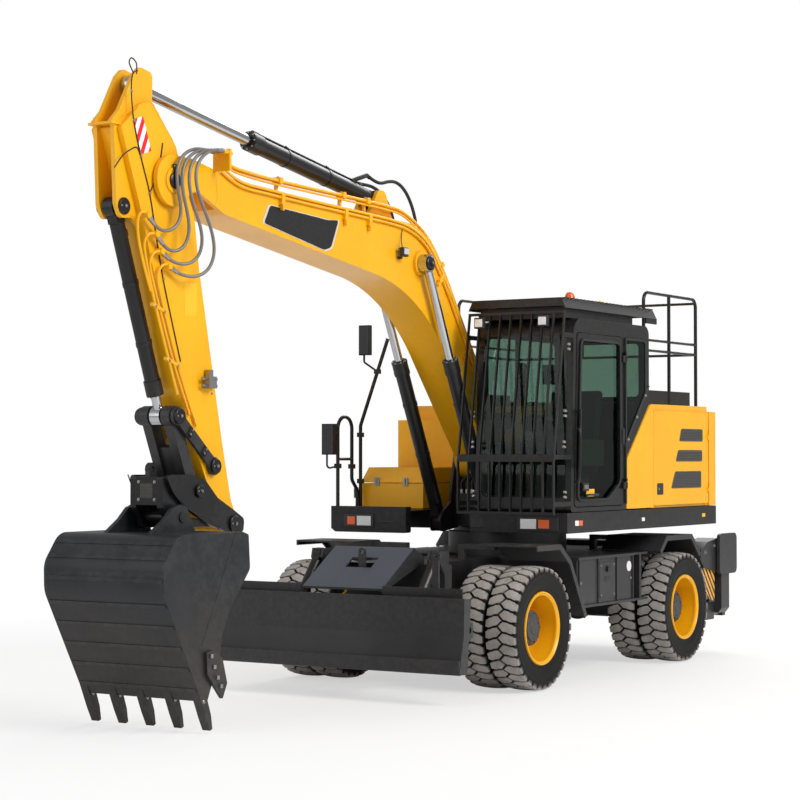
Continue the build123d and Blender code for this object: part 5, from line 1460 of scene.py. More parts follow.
class EXCAVATOR_OT_arm(bpy.types.Operator):
    """Fit the arm's striped sheets, pipes, grease lines and weld beads"""

    bl_idname = "excavator.arm"
    bl_label = "Arm fittings"

    def execute(self, context):
        self.stripes()
        self.pipes()
        self.grease_lines()
        self.welds()
        return {"FINISHED"}

    def stripes(self):
        """The striped sheet at the arm's head and the blank sticker below it, on both sides."""
        stripes = [(5527, 4429), (5404, 4465), (5309, 4226), (5419, 4189)]
        sign = rounded([(4914, 3285), (4765, 3296), (4765, 3050), (4914, 3040)], 10)
        for name, outline, finish in (("arm_stripes", stripes, "red_white"), ("arm_sign", sign, "sign")):
            for hand, face, out in (("left", ARM_LEFT, 1.6), ("right", ARM_RIGHT, -1.6)):
                shape = Shape()
                shape.plate(outline, sorted((face - out / 2, face + out)))
                shape.piece(f"{hand}_{name}", "arm", finish, "lamp")

    def pipes(self):
        """The pipes from the hoses down the arm's left side."""
        radius = settings("hoses").pipe_radius * 1000 * 0.85
        shape = Shape()
        runs = (
            [(5420, 112, 3755), (5470, 100, 3760), (5490, 84, 3700), (5470, 78, 3560), (5400, 78, 3360),
             (5330, 78, 3200)],
            [(5318, 112, 3618), (5380, 100, 3610), (5415, 84, 3540), (5380, 78, 3400), (5300, 78, 3160),
             (5150, 78, 2780), (5015, 78, 2455)],
            [(5250, 112, 3495), (5320, 100, 3480), (5350, 84, 3400), (5300, 78, 3250), (5230, 78, 3080),
             (5060, 78, 2680), (4870, 78, 2305)],
            [(5165, 112, 3408), (5230, 100, 3390), (5262, 84, 3310), (5215, 78, 3170), (5150, 78, 3000),
             (4980, 78, 2600), (4785, 78, 2225)],
        )
        for run in runs:
            shape.tube(smooth_path([at(*spot) for spot in run], 6), radius, sides=12)
        shape.piece("arm_pipes", "arm", "yellow", "yellow_paint", smooth=60)
        clamps, bolts = Shape(), Shape()
        for x, z in ((5245, 3090), (5085, 2700)):
            clamps.plate([(x - 95, z - 55), (x + 75, z + 5), (x + 68, z + 30), (x - 102, z - 28)], (58, 92))
            for step in (-60, 40):
                bolts.bolt((x + step, 92, z - 12 + step * 0.35), (0, 1, 0), 13)
        clamps.piece("arm_pipe_clamps", "arm", "yellow", "yellow_paint", bevel=2)
        valve = Shape()
        valve.slab((4600, 4690), (60, 130), (2510, 2600))
        valve.slab((4630, 4670), (70, 118), (2600, 2650))
        for z in (2530, 2580):
            valve.rod((4690, 96, z), (4740, 96, z), 13, chamfer=2)
            valve.rod((4600, 96, z), (4560, 96, z), 13, chamfer=2)
        valve.piece("arm_valve", "arm", "steel", "steel", bevel=2)
        for x, z in ((4625, 2610), (4665, 2500)):
            bolts.bolt((x, 130, z - 30), (0, 1, 0), 12)
        bolts.piece("arm_bolts", "arm", "steel", "steel")

    def grease_lines(self):
        lines = Shape()
        runs = (
            [(5470, 62, 4790), (5528, 64, 4753), (5542, 64, 4630), (5513, 64, 4422), (5433, 64, 4173),
             (5330, 64, 3915), (5250, 64, 3600), (5170, 64, 3300), (5060, 64, 2980), (4960, 64, 2700)],
            [(5433, 64, 4173), (5480, 64, 4230), (5560, 64, 4200), (5640, 64, 4150), (5700, 40, 4060)],
            [(5180, 64, 4300), (5200, 64, 4200), (5230, 64, 4100), (5290, 64, 3980), (5330, 64, 3915)],
        )
        for run in runs:
            lines.tube(smooth_path([at(*spot) for spot in run], 8), 5.0, sides=8)
        loop = [(5522, 62, 4770), (5551, 50, 4836), (5511, 40, 4878), (5465, 46, 4845), (5479, 60, 4764)]
        lines.tube(smooth_path([at(*spot) for spot in loop], 8), 5.0, sides=8)
        lines.piece("arm_grease_lines", "arm", "rubber", "black_plastic", smooth=60)
        nuts = Shape()
        for x, z in ((5542, 4630), (5513, 4422), (5433, 4173), (5330, 3915), (5170, 3300)):
            nuts.rod((x, 60, z), (x, 74, z), 11, sides=6)
        nuts.piece("grease_nuts", "arm", "steel", "steel", bevel=1)

    def welds(self):
        shape = Shape()
        for face in (ARM_LEFT, ARM_RIGHT):
            curve = [(5628, 4443), (5470, 4530), (5368, 4586), (5300, 4575), (5230, 4500), (5055, 4333)]
            path = smooth_path([at(x, face, z) for x, z in curve], 8)
            bead(shape, path, 4.0)
            weld(shape, [(x, face, z) for x, z in arc(ARM_PIN, 158, 0, 360, 48)])
            weld(shape, [(x, face, z) for x, z in arc(SIDE_LINK_PIN, 47, 0, 360, 24)])
        shape.piece("arm_welds", "arm", "yellow", "yellow_paint", smooth=60)


def along(start, end, distance):
    """A point in X and Z at a distance from start on the way to end."""
    a, b = Vector(start), Vector(end)
    return tuple(a + (b - a).normalized() * distance)


# each ram: its barrel's body, name, base and tip pins, Y of its middle lines, barrel radius, where the
# side pipe starts and ends along the barrel
RAMS = (
    ("boom_barrels", "boom_ram", (514, 1380), (1644, 3686), (188, -348), 64, 215, 1640),
    ("arm_barrel", "arm_ram", (2092, 4210), (5342, 4708), (-80,), 70, 150, 1850),
    ("bucket_barrel", "bucket_ram", (5567, 3800), (5022, 2296), (-80,), 56, 120, 1430),
    ("blade_barrels", "blade_ram", (2150, 1150), (2560, 640), (590, -590), 50, 80, 470),
)


class EXCAVATOR_OT_rams(bpy.types.Operator):
    """Fit the rams' gland rings, bolts, ports and side pipes"""

    bl_idname = "excavator.rams"
    bl_label = "Rams"

    def execute(self, context):
        for body, name, base, tip, rows, radius, start, end in RAMS:
            shape, bolts = Shape(), Shape()
            for y in rows:
                self.gland(shape, bolts, base, tip, y, radius, end)
                if radius > 52:
                    self.side_pipe(shape, base, tip, y, radius, start, end)
            shape.piece(f"{name}_fittings", body, "black", "black_paint", bevel=1.5)
            bolts.piece(f"{name}_bolts", body, "steel", "steel")
        return {"FINISHED"}

    def gland(self, shape, bolts, base, tip, y, radius, end):
        """Collars on the gland and a ring of bolts in its face."""
        way = Vector((tip[0] - base[0], 0, tip[1] - base[1])).normalized()
        low, high = along(base, tip, end - radius * 1.6), along(base, tip, end)
        ring = radius + 10
        rod = radius * 0.66
        shape.ring((high[0], y, high[1]), way, [(-14, ring), (3, ring), (3, rod), (-14, rod)])
        shape.ring((low[0], y, low[1]), way, [(-12, radius), (-10, ring), (10, ring), (12, radius)])
        across = way.orthogonal().normalized()
        third = way.cross(across)
        for i in range(8):
            turn = math.tau * i / 8
            out = (across * math.cos(turn) + third * math.sin(turn)) * (ring - 12)
            spot = (high[0] + out.x + way.x * 2, y + out.y, high[1] + out.z + way.z * 2)
            bolts.turned(spot, way, [(-2, 8), (9, 8), (10, 6)], sides=12)

    def side_pipe(self, shape, base, tip, y, radius, start, end):
        """The pipe that feeds the rod's end, held by two straps, and its ports."""
        way = Vector((tip[0] - base[0], tip[1] - base[1])).normalized()
        out = Vector((-way.y, way.x)) * (1 if way.x > 0 else -1)
        if out.y < 0 and abs(way.x) > 0.5:
            out = -out
        near, far = along(base, tip, start + 90), along(base, tip, end - 60)
        off = radius + 17
        spots = [
            (near[0] + out.x * (radius - 4), y, near[1] + out.y * (radius - 4)),
            (near[0] + out.x * off, y, near[1] + out.y * off),
            (near[0] + way.x * 70 + out.x * off, y, near[1] + way.y * 70 + out.y * off),
            (far[0] - way.x * 90 + out.x * off, y, far[1] - way.y * 90 + out.y * off),
            (far[0] - way.x * 30 + out.x * (off + 4), y, far[1] - way.y * 30 + out.y * (off + 4)),
            (far[0] + out.x * (radius + 2), y, far[1] + out.y * (radius + 2)),
        ]
        path = []
        for a, b in zip(spots, spots[1:]):
            path += [at(*a), at(*[(p + q) / 2 for p, q in zip(a, b)])]
        path.append(at(*spots[-1]))
        shape.tube(path, 11, sides=12)
        for centre in (near, far):
            block = (centre[0] + out.x * (radius + 6), centre[1] + out.y * (radius + 6))
            a = (block[0] - way.x * 26, y, block[1] - way.y * 26)
            b = (block[0] + way.x * 26, y, block[1] + way.y * 26)
            shape.rod(a, b, 24, sides=8, chamfer=4)
        for share in (0.35, 0.7):
            mid = along(base, tip, start + (end - start) * share)
            turn_way = Vector((way.x, 0, way.y))
            shape.ring(
                (mid[0], y, mid[1]), turn_way,
                [(-16, radius - 1), (-16, radius + 4), (16, radius + 4), (16, radius - 1)])
            spot = (mid[0] + out.x * off, y, mid[1] + out.y * off)
            shape.rod(
                (spot[0] - way.x * 14, y, spot[2] - way.y * 14),
                (spot[0] + way.x * 14, y, spot[2] + way.y * 14), 17, sides=12)


# ---------------------------------------------------------------- bucket, coupler and links
BUCKET_MIDDLE = -80.0
BUCKET_HALF = 555.0
TOOTH_ROWS = [BUCKET_MIDDLE + (BUCKET_HALF - 40) * step / 2 for step in (-2, -1, 0, 1, 2)]
# where the bucket's back bends, as (X, Z) on its outer face
BUCKET_BACK = ((5511, 1429), (5670, 1224), (5666, 1018), (5231, 243))
COUPLER_EDGE = ((5170, 1863), (5079, 1722), (4896, 1596), (4661, 1533), (4534, 1443))


class EXCAVATOR_OT_bucket(bpy.types.Operator):
    """Fit the bucket's wear strips, side cutters' bolts, tooth pins and weld beads"""

    bl_idname = "excavator.bucket"
    bl_label = "Bucket"

    def execute(self, context):
        self.strips()
        self.bolts()
        self.welds()
        return {"FINISHED"}

    def strips(self):
        """Wear strips across the back."""
        shape = Shape()
        half = BUCKET_HALF - 14
        for (ax, az), (bx, bz), count in zip(BUCKET_BACK, BUCKET_BACK[1:], (2, 1, 5)):
            way = Vector((bx - ax, bz - az)).normalized()
            out = Vector((-way.y, way.x))
            if out.x < 0:
                out = -out
            length = math.hypot(bx - ax, bz - az)
            for i in range(count):
                step = length * (i + 0.5) / count
                low = Vector((ax, az)) + way * (step - 16)
                high = low + way * 32
                corners = [low - out * 3, low + out * 7, high + out * 7, high - out * 3]
                shape.plate([tuple(spot) for spot in corners], (BUCKET_MIDDLE - half, BUCKET_MIDDLE + half))
        shape.piece("bucket_wear_strips", "bucket", "bucket", "steel", bevel=2.5)

    def bolts(self):
        bolts = Shape()
        for side in (1, -1):
            face = BUCKET_MIDDLE + side * (BUCKET_HALF + 24)
            for x, z in ((5155, 560), (5120, 480), (5080, 400), (5040, 335)):
                bolts.slab((x - 15, x + 15), sorted((face - 4 * side, face + 13 * side)), (z - 15, z + 15))
        for y in TOOTH_ROWS:
            for side in (1, -1):
                bolts.turned((5205, y + side * 34, 235), (0, side, 0), [(-4, 15), (6, 15), (9, 11)], sides=16)
        bolts.piece("bucket_bolts", "bucket", "steel", "steel", bevel=1)

    def welds(self):
        shape = Shape()
        for side in (1, -1):
            face = BUCKET_MIDDLE + side * BUCKET_HALF
            path = smooth_path([at(x, face, z) for x, z in ((4820, 1446), (5077, 929), (5230, 640))], 10)
            bead(shape, path, 5.0, 0.007)
        for y in TOOTH_ROWS:
            for side in (1, -1):
                weld(shape, [(5262, y + side * 36, 330), (5190, y + side * 36, 262)], 5)
        shape.piece("bucket_welds", "bucket", "bucket", "steel", smooth=60)


class EXCAVATOR_OT_links(bpy.types.Operator):
    """Fit the collars, keeper bolts and clamps of the bucket's linkage and its quick coupler"""

    bl_idname = "excavator.links"
    bl_label = "Links and coupler"

    def execute(self, context):
        self.collars()
        self.clamps()
        self.coupler()
        return {"FINISHED"}

    def collars(self):
        """Big heads on the pins' ends, each with a keeper bolt."""
        spots = (
            ("side_links", SIDE_LINK_PIN, 184, 58), ("side_links", LINK_PIN, 184, 60),
            ("coupler", (4782, 1738), 190, 50), ("arm", (4350, 1485), 190, 62),
            ("coupler", (5038, 1551), 190, 48), ("arm", (5567, 3800), 98, 62),
        )
        for body in sorted({spot[0] for spot in spots}):
            caps, bolts = Shape(), Shape()
            rider = {"coupler": "bucket"}.get(body, body)
            for owner, (x, z), out, size in spots:
                if owner != body:
                    continue
                for side in (1, -1):
                    face = BUCKET_MIDDLE + side * out
                    caps.turned(
                        (x, face, z), (0, side, 0),
                        [(-6, size), (10, size), (16, size - 7), (17, 16), (24, 15)],
                        sides=40)
                    bolts.bolt((x, face + side * 23, z), (0, side, 0), 16)
                    bolts.bolt((x + size * 0.62, face + side * 15, z), (0, side, 0), 10)
            caps.piece(f"{body}_pin_collars", rider, "black", "black_paint", bevel=2)
            bolts.piece(f"{body}_pin_bolts", rider, "steel", "steel")

    def clamps(self):
        """Two square clamps on each side link."""
        shape, bolts = Shape(), Shape()
        run = Vector(LINK_PIN) - Vector(SIDE_LINK_PIN)
        way = run.normalized()
        up = Vector((-way.y, way.x))
        for side in (1, -1):
            face = BUCKET_MIDDLE + side * 176
            for share in (0.3, 0.68):
                spot = Vector(SIDE_LINK_PIN) + run * share
                corners = [spot + way * a + up * b for a, b in ((-24, -34), (24, -34), (24, 34), (-24, 34))]
                shape.plate([tuple(c) for c in corners], sorted((face - side * 3, face + side * 14)))
                for step in (-20, 20):
                    place_at = spot + up * step
                    bolts.bolt((place_at.x, face + side * 14, place_at.y), (0, side, 0), 11)
        shape.piece("side_link_clamps", "side_links", "black", "black_paint", bevel=2)
        bolts.piece("side_link_clamp_bolts", "side_links", "steel", "steel")

    def coupler(self):
        """The coupler's edge welds, locking rams, the painted shade of its recess, and bolts."""
        shape = Shape()
        for side in (1, -1):
            face = BUCKET_MIDDLE + side * 182
            path = smooth_path([at(x, face, z) for x, z in COUPLER_EDGE], 8)
            bead(shape, path, 5.0, 0.008)
        shape.piece("coupler_welds", "bucket", "black", "black_paint", smooth=60)
        locks = Shape()
        for y in both(34):
            middle = BUCKET_MIDDLE + y
            locks.rod((4850, middle, 1600), (5040, middle, 1690), 26, chamfer=4)
            locks.rod((4840, middle, 1596), (4760, middle, 1560), 14)
        locks.piece("coupler_locks", "bucket", "black", "black_paint", bevel=1)
        # a thin dark sheet in the vent material: painted shade standing for the hollow of the coupler's
        # recess
        recess = Shape()
        recess.slab((5176, 5182), (BUCKET_MIDDLE - 58, BUCKET_MIDDLE + 58), (1690, 1800))
        recess.piece("coupler_recess_shade", "bucket", "vent", "steel", bevel=3)
        bolts = Shape()
        for y in both(74):
            for z in (1680, 1810):
                bolts.bolt((5178, BUCKET_MIDDLE + y, z), (1, 0, 0), 16)
        bolts.piece("coupler_bolts", "bucket", "steel", "steel")


# ---------------------------------------------------------------- cab
CAB_LEFT = 1235.0
CAB_RIGHT = 268.0


class EXCAVATOR_OT_cab(bpy.types.Operator):
    """Fit the cab's seals, handles, trim, beacon, lamps and blank stickers"""

    bl_idname = "excavator.cab"
    bl_label = "Cab fittings"

    def execute(self, context):
        self.seals()
        self.handles()
        self.trim()
        self.roof()
        self.guard_fittings()
        self.inside()
        return {"FINISHED"}

    def seals(self):
        """Rubber seals round the door's window and the left pane."""
        windows = (
            ("door_seal", "cab_door", 1249,
             [(822, 1610), (752, 3030), (-35, 3030), (-35, 1760), (220, 1610)]),
            ("side_seal", "superstructure", 1236, [(-160, 3080), (-600, 3080), (-600, 2540), (-160, 2090)]),
        )
        for name, body, y, outline in windows:
            shape = Shape()
            path = [at(x, y, z) for x, z in rounded(outline, 60)]
            shape.tube(path, 11, sides=10, close=True)
            shape.piece(name, body, "rubber", "black_plastic", smooth=60)

    def handles(self):
        shape = Shape()
        bar = [(870, 1262, 2230), (880, 1300, 2210), (890, 1304, 2000), (905, 1300, 1790), (898, 1262, 1770)]
        shape.tube(smooth_path([at(*spot) for spot in bar], 8), 13, sides=14)
        loop = [(700, 1252, 1640), (700, 1285, 1655), (600, 1290, 1655), (500, 1285, 1655), (500, 1252, 1640)]
        shape.tube(smooth_path([at(*spot) for spot in loop], 8), 10, sides=12)
        shape.slab((-90, -40), (1250, 1268), (2110, 2250))
        shape.slab((640, 760), (1250, 1266), (1690, 1760))
        shape.piece("door_handles", "cab_door", "black", "black_paint", bevel=3)
        latch = Shape()
        latch.slab((660, 742), (1266, 1274), (1706, 1744))
        latch.rod((735, 1266, 1725), (735, 1280, 1725), 11, chamfer=2)
        latch.piece("door_latch", "cab_door", "steel", "steel", bevel=2)
        inner = Shape()
        bar = [(560, 1150, 1760), (600, 1130, 1840), (610, 1130, 2060), (560, 1150, 2140)]
        inner.tube(smooth_path([at(*spot) for spot in bar], 8), 14, sides=12)
        inner.piece("inner_handle", "cab_door", "orange", "lamp", smooth=60)
        sign = Shape()
        sign.plate(rounded([(500, 1640), (660, 1640), (660, 1705), (500, 1705)], 8), (1246, 1249))
        sign.piece("door_sign", "cab_door", "sign", "lamp")

    def trim(self):
        """The slanting strip behind the door, with its three bolts, and the cab's door post."""
        shape, bolts = Shape(), Shape()
        strip = [(-170, 2090), (-130, 2090), (-640, 2660), (-680, 2660)]
        shape.plate(strip, (1234, 1246))
        for x, z in ((-205, 2150), (-390, 2360), (-575, 2565)):
            bolts.bolt((x, 1246, z), (0, 1, 0), 20)
        shape.slab((-168, -150), (1234, 1252), (1560, 3090))
        shape.piece("cab_side_trim", "superstructure", "plastic", "black_plastic", bevel=3)
        bolts.piece("cab_trim_bolts", "superstructure", "steel", "steel")

    def roof(self):
        """The orange beacon, the ribs on the visor, the roof hatch, and the duct under the visor."""
        dome = Shape()
        dome.turned(
            (290, 900, 3408), (0, 0, 1),
            [(0, 48), (12, 49), (40, 47), (66, 40), (84, 27), (92, 12), (94, 0.5)], sides=40)
        dome.piece("beacon_dome", "superstructure", "orange", "lamp", smooth=60)
        base = Shape()
        base.turned((290, 900, 3392), (0, 0, 1), [(-4, 62), (14, 60), (18, 50), (20, 49)], sides=40)
        base.rod((290, 900, 3290), (290, 900, 3392), 13)
        for x in range(-840, 940, 74):
            base.slab((x, x + 18), (262, 1203), (3390, 3397))
        base.slab((-560, 60), (420, 1080), (3388, 3402))
        base.slab((-480, 900), (310, 1160), (3221, 3320))
        base.piece("roof_fittings", "superstructure", "plastic", "black_plastic", bevel=2.5)

    def guard_fittings(self):
        """Silver bolts in pairs down the guard's sides, and its pair of lamps."""
        bolts, lens, cases = Shape(), Shape(), Shape()
        for x, z in ((905, 2960), (978, 2372), (1000, 2100), (985, 1660)):
            for y in (CAB_RIGHT + 24, CAB_LEFT - 24):
                for dz in both(22):
                    bolts.turned(
                        (x, y, z + dz), (1, 0, 0.1), [(0, 14), (24, 14), (30, 10), (31, 0.5)], sides=20)
        for y in (413, 1053):
            lens.slab((1117, 1125), (y - 38, y + 38), (3147, 3218))
            cases.slab((1076, 1116), (y - 50, y + 50), (3134, 3232))
            cases.slab((1000, 1080), (y - 8, y + 8), (3170, 3190))
        bolts.piece("guard_bolts", "superstructure", "steel", "steel")
        lens.piece("guard_lamp_lenses", "superstructure", "clear", "lamp", bevel=4, segments=3)
        cases.piece("guard_lamp_cases", "superstructure", "plastic", "black_plastic", bevel=6, segments=3)

    def inside(self):
        """Two joystick consoles, a screen and a rear shelf, seen through the glass."""
        shape = Shape()
        for y in (480, 1000):
            shape.slab((40, 420), (y - 60, y + 60), (2000, 2100))
            shape.rod((360, y, 2100), (380, y, 2220), 13)
            shape.turned(
                (380, y, 2220), (0.15, 0, 1), [(-10, 15), (20, 26), (70, 28), (95, 22), (102, 8)], sides=20)
        shape.slab((640, 690), (330, 520), (2240, 2400))
        shape.rod((700, 350, 1560), (665, 420, 2260), 12)
        shape.slab((-640, -480), (330, 1160), (2420, 2500))
        shape.slab((560, 600), (1000, 1180), (2870, 3110))
        shape.rod((580, 1090, 3100), (640, 1120, 3190), 12)
        shape.piece("cab_consoles", "superstructure", "plastic", "black_plastic", bevel=8, segments=3)


# ---------------------------------------------------------------- hood and deck
BODY_SIDE = 1240.0
DECK_FRONT = 1010.0
HOOD_CREST = 2490.0
# each vent of a hood door: its bottom, top, front edge below and above, and rear edge
VENTS = (
    (1685, 1850, -1168, -1262, -1882), (1944, 2057, -1275, -1334, -1908), (2140, 2264, -1358, -1406, -1922),
)


class EXCAVATOR_OT_hood(bpy.types.Operator):
    """Fit the hood's vents, latches and seams, the exhaust and the tank's strip"""

    bl_idname = "excavator.hood"
    bl_label = "Hood fittings"

    def execute(self, context):
        self.vents()
        self.latches()
        self.top()
        return {"FINISHED"}

    def vents(self):
        """Three slanted vents in each hood door, wider downwards, with louvres over a punched sheet whose
        holes are painted shade.
        """
        for hand, side in HANDS:
            back, blades = Shape(), Shape()
            face = side * (BODY_SIDE - 4)
            for low, high, front, front_top, rear in VENTS:
                outline = [(rear, low), (front, low), (front_top, high), (rear, high)]
                # a flat sheet behind the louvres, its holes painted near-black as the shade inside the vent
                back.plate(rounded(outline, 28), sorted((face - side * 2, face + side * 2)))
                for z in range(low + 14, high - 14, 15):
                    edge = front + (front_top - front) * (z - low) / (high - low)
                    blades.slab((rear + 20, edge - 20), sorted((face, face + side * 6)), (z, z + 5))
            back.piece(f"{hand}_vent_shade_sheets", f"{hand}_hood_door", "vent", "black_plastic")
            blades.piece(f"{hand}_vent_louvres", f"{hand}_hood_door", "plastic", "black_plastic", bevel=1)

    def latches(self):
        """Flush latches in the doors and side panel, each a dark square with a lock barrel."""
        for hand, side in HANDS:
            shape, locks = Shape(), Shape()
            face = side * (BODY_SIDE - 4)
            outline = rounded([(-985, 1630), (-850, 1630), (-850, 1740), (-985, 1740)], 14)
            shape.plate(outline, sorted((face - side, face + side * 5)))
            locks.turned((-880, face + side * 5, 1685), (0, side, 0), [(-1, 13), (4, 13), (6, 10)], sides=24)
            shape.piece(f"{hand}_door_latch", f"{hand}_hood_door", "plastic", "black_plastic", bevel=3)
            locks.piece(f"{hand}_door_lock", f"{hand}_hood_door", "steel", "steel")
        lid = Shape()
        for y in (-1040, -720):
            lid.slab((518, 534), (y - 26, y + 26), (1716, 1796))
            lid.rod((538, y, 1728), (538, y, 1788), 8)
        lid.piece("tool_box_latches", "superstructure", "steel", "steel", bevel=2)

    def top(self):
        """The exhaust, its box, the hood's seams and hinges, the fuel cap and the tank's dark strip."""
        shape = Shape()
        shape.rod((-1380, -520, HOOD_CREST - 4), (-1380, -520, HOOD_CREST + 330), 62, chamfer=3, sides=36)
        shape.rod((-1380, -520, HOOD_CREST + 326), (-1420, -520, HOOD_CREST + 440), 50, sides=36)
        shape.slab((-1560, -1060), (-860, -200), (HOOD_CREST - 2, HOOD_CREST + 46))
        for x in range(-1530, -1080, 46):
            shape.slab((x, x + 22), (-800, -640), (HOOD_CREST + 46, HOOD_CREST + 58))
        shape.piece("exhaust", "superstructure", "black", "black_paint", bevel=6, segments=3)
        strip = Shape()
        strip.slab((-745, -160), (-1229, -1223), (2256, 2330))
        strip.rod((-420, -860, 2346), (-420, -860, 2392), 62, chamfer=6, sides=36)
        strip.rod((-420, -860, 2390), (-420, -860, 2406), 30, chamfer=4, sides=24)
        strip.piece("tank_trim", "superstructure", "plastic", "black_plastic", bevel=3)
        cover = Shape()
        for y in both(420):
            cover.slab((-2020, -1000), (y - 5, y + 5), (HOOD_CREST, HOOD_CREST + 7))
        for x in (-1900, -1240):
            cover.turned((x, 0, HOOD_CREST), (0, 0, 1), [(-2, 26), (16, 26), (22, 20)], sides=24)
        cover.piece("hood_seams", "superstructure", "yellow", "yellow_paint", bevel=2)
        cap = Shape()
        cap.turned((60, 1090, 3402), (0, 0, 1), [(-4, 40), (10, 38), (18, 24), (20, 0.5)], sides=28)
        cap.piece("roof_cap", "superstructure", "sign", "lamp", smooth=60)


class EXCAVATOR_OT_deck(bpy.types.Operator):
    """Fit the deck's lamps, reflectors, mirrors, step plates and the cluster at the boom's foot"""

    bl_idname = "excavator.deck"
    bl_label = "Deck fittings"

    def execute(self, context):
        self.lamps()
        self.reflectors()
        self.mirrors()
        self.cluster()
        self.deck_plates()
        return {"FINISHED"}

    def lamps(self):
        """Clear and orange lenses in dark frames on the deck's front, and orange ones at the rear."""
        cases, clear, amber = Shape(), Shape(), Shape()
        face = DECK_FRONT
        # (frame, clear lens, orange lens), each as its reach along Y
        for frame_y, clear_y, amber_y in (
            ((-1085, -765), (-940, -788), (-1046, -962)), ((750, 1156), (782, 941), (962, 1068)),
        ):
            cases.slab((face - 4, face + 16), frame_y, (1340, 1460))
            clear.slab((face + 15, face + 22), clear_y, (1356, 1444))
            amber.slab((face + 15, face + 22), amber_y, (1362, 1438))
        cases.slab((face - 4, face + 5), (265, 405), (1358, 1436))
        cases.slab((face - 4, face + 8), (-711, -526), (1385, 1400))
        for side in (1, -1):
            cases.slab((-2440, -2410), reach(side, 760, 1010), (1560, 1650))
            amber.slab((-2446, -2438), reach(side, 770, 1000), (1568, 1642))
        cases.piece("deck_lamp_cases", "superstructure", "plastic", "black_plastic", bevel=6, segments=3)
        clear.piece("deck_clear_lenses", "superstructure", "clear", "lamp", bevel=3)
        amber.piece("deck_orange_lenses", "superstructure", "orange", "lamp", bevel=3)

    def reflectors(self):
        orange, white, yellow = Shape(), Shape(), Shape()
        for side in (1, -1):
            y = reach(side, BODY_SIDE - 1, BODY_SIDE + 5)
            orange.slab((720, 800), y, (1385, 1430))
            white.slab((800, 866), y, (1385, 1430))
            white.slab((-560, -500), y, (1390, 1424))
            yellow.slab((-1960, -1890), y, (1395, 1430))
        orange.piece("orange_reflectors", "superstructure", "orange", "lamp", bevel=2)
        white.piece("white_reflectors", "superstructure", "white", "lamp", bevel=2)
        yellow.piece("rear_reflectors", "superstructure", "sign", "lamp", bevel=2)
        sign = Shape()
        sign.plate(rounded([(640, 1600), (560, 1600), (560, 1700), (640, 1700)], 6), (-1229, -1227))
        sign.piece("tool_box_sign", "superstructure", "white", "lamp")

    def mirrors(self):
        """Mirror glass, housings' backs and clamps on the rails and poles."""
        glass, cases, clamps = Shape(), Shape(), Shape()
        glass.slab((1014, 1020), (-1302, -1178), (2022, 2288))
        glass.slab((594, 600), (-1163, -1057), (2968, 3228))
        cases.slab((1022, 1078), (-1302, -1178), (2020, 2290))
        cases.slab((604, 658), (-1163, -1057), (2967, 3228))
        cab_mirror = [(820, 1130, 2700), (840, 1100, 2690), (850, 1060, 2700)]
        clamps.tube(smooth_path([at(*spot) for spot in cab_mirror], 6), 9, sides=10)
        glass.slab((836, 842), (920, 1080), (2640, 2800))
        cases.slab((842, 862), (915, 1085), (2632, 2808))
        for x, y, z in (
            (575, -1195, 1760), (575, -1195, 2200), (591, -993, 2799), (950, -1205, 1905),
            (711, -1205, 1900),
        ):
            clamps.slab((x - 26, x + 26), (y - 26, y + 26), (z - 22, z + 22))
        glass.piece("mirror_glasses", "superstructure", "mirror", "lamp")
        cases.piece("mirror_backs", "superstructure", "plastic", "black_plastic", bevel=14, segments=4)
        clamps.piece("pole_clamps", "superstructure", "black", "black_paint", bevel=3)

    def cluster(self):
        """The valves and hoses in front of the boom's foot."""
        shape, steel = Shape(), Shape()
        shape.slab((300, 430), (-230, 60), (1520, 1650))
        for i in range(5):
            y = -200 + 56 * i
            steel.rod((365, y, 1648), (365, y, 1690), 20, chamfer=3, sides=6)
            path = [
                (365, y, 1690), (360, y, 1760), (300 - 8 * i, y * 0.6 - 20, 1830),
                (210, y * 0.5 - 30, 1850 - 10 * i), (120, y * 0.5 - 30, 1800)]
            shape.tube(smooth_path([at(*spot) for spot in path], 8), 14, sides=12)
        shape.piece("foot_valves", "superstructure", "rubber", "black_plastic", bevel=3)
        steel.piece("foot_fittings", "superstructure", "steel", "steel", bevel=1)

    def deck_plates(self):
        """Raised studs on the walkway, and the rear corner's chain."""
        shape = Shape()
        for x in range(560, 930, 46):
            for y in range(-1180, -520, 46):
                shape.turned((x, y, 1499), (0, 0, 1), [(0, 9), (5, 7)], sides=8)
        shape.piece("walkway_studs", "superstructure", "black", "black_paint")
        links = Shape()
        for i in range(9):
            x = -2120 - 16 * i
            z = 1330 - 12 * math.sin(math.pi * i / 8)
            wide = i % 2 == 0
            ring = []
            for k in range(12):
                turn = math.tau * k / 12
                dx, other = 12 * math.cos(turn), 6 * math.sin(turn)
                ring.append(at(x + dx, 1120 + (other if wide else 0), z + (0 if wide else other)))
            links.tube(ring, 3, sides=6, close=True)
        links.piece("rear_chain", "superstructure", "steel", "steel", smooth=60)


# ---------------------------------------------------------------- undercarriage
BOX_FACE = 1120.0
REAR_BOARD_X = -2450.0
OUTRIGGER_PIN = (-2585, 1030, 430)


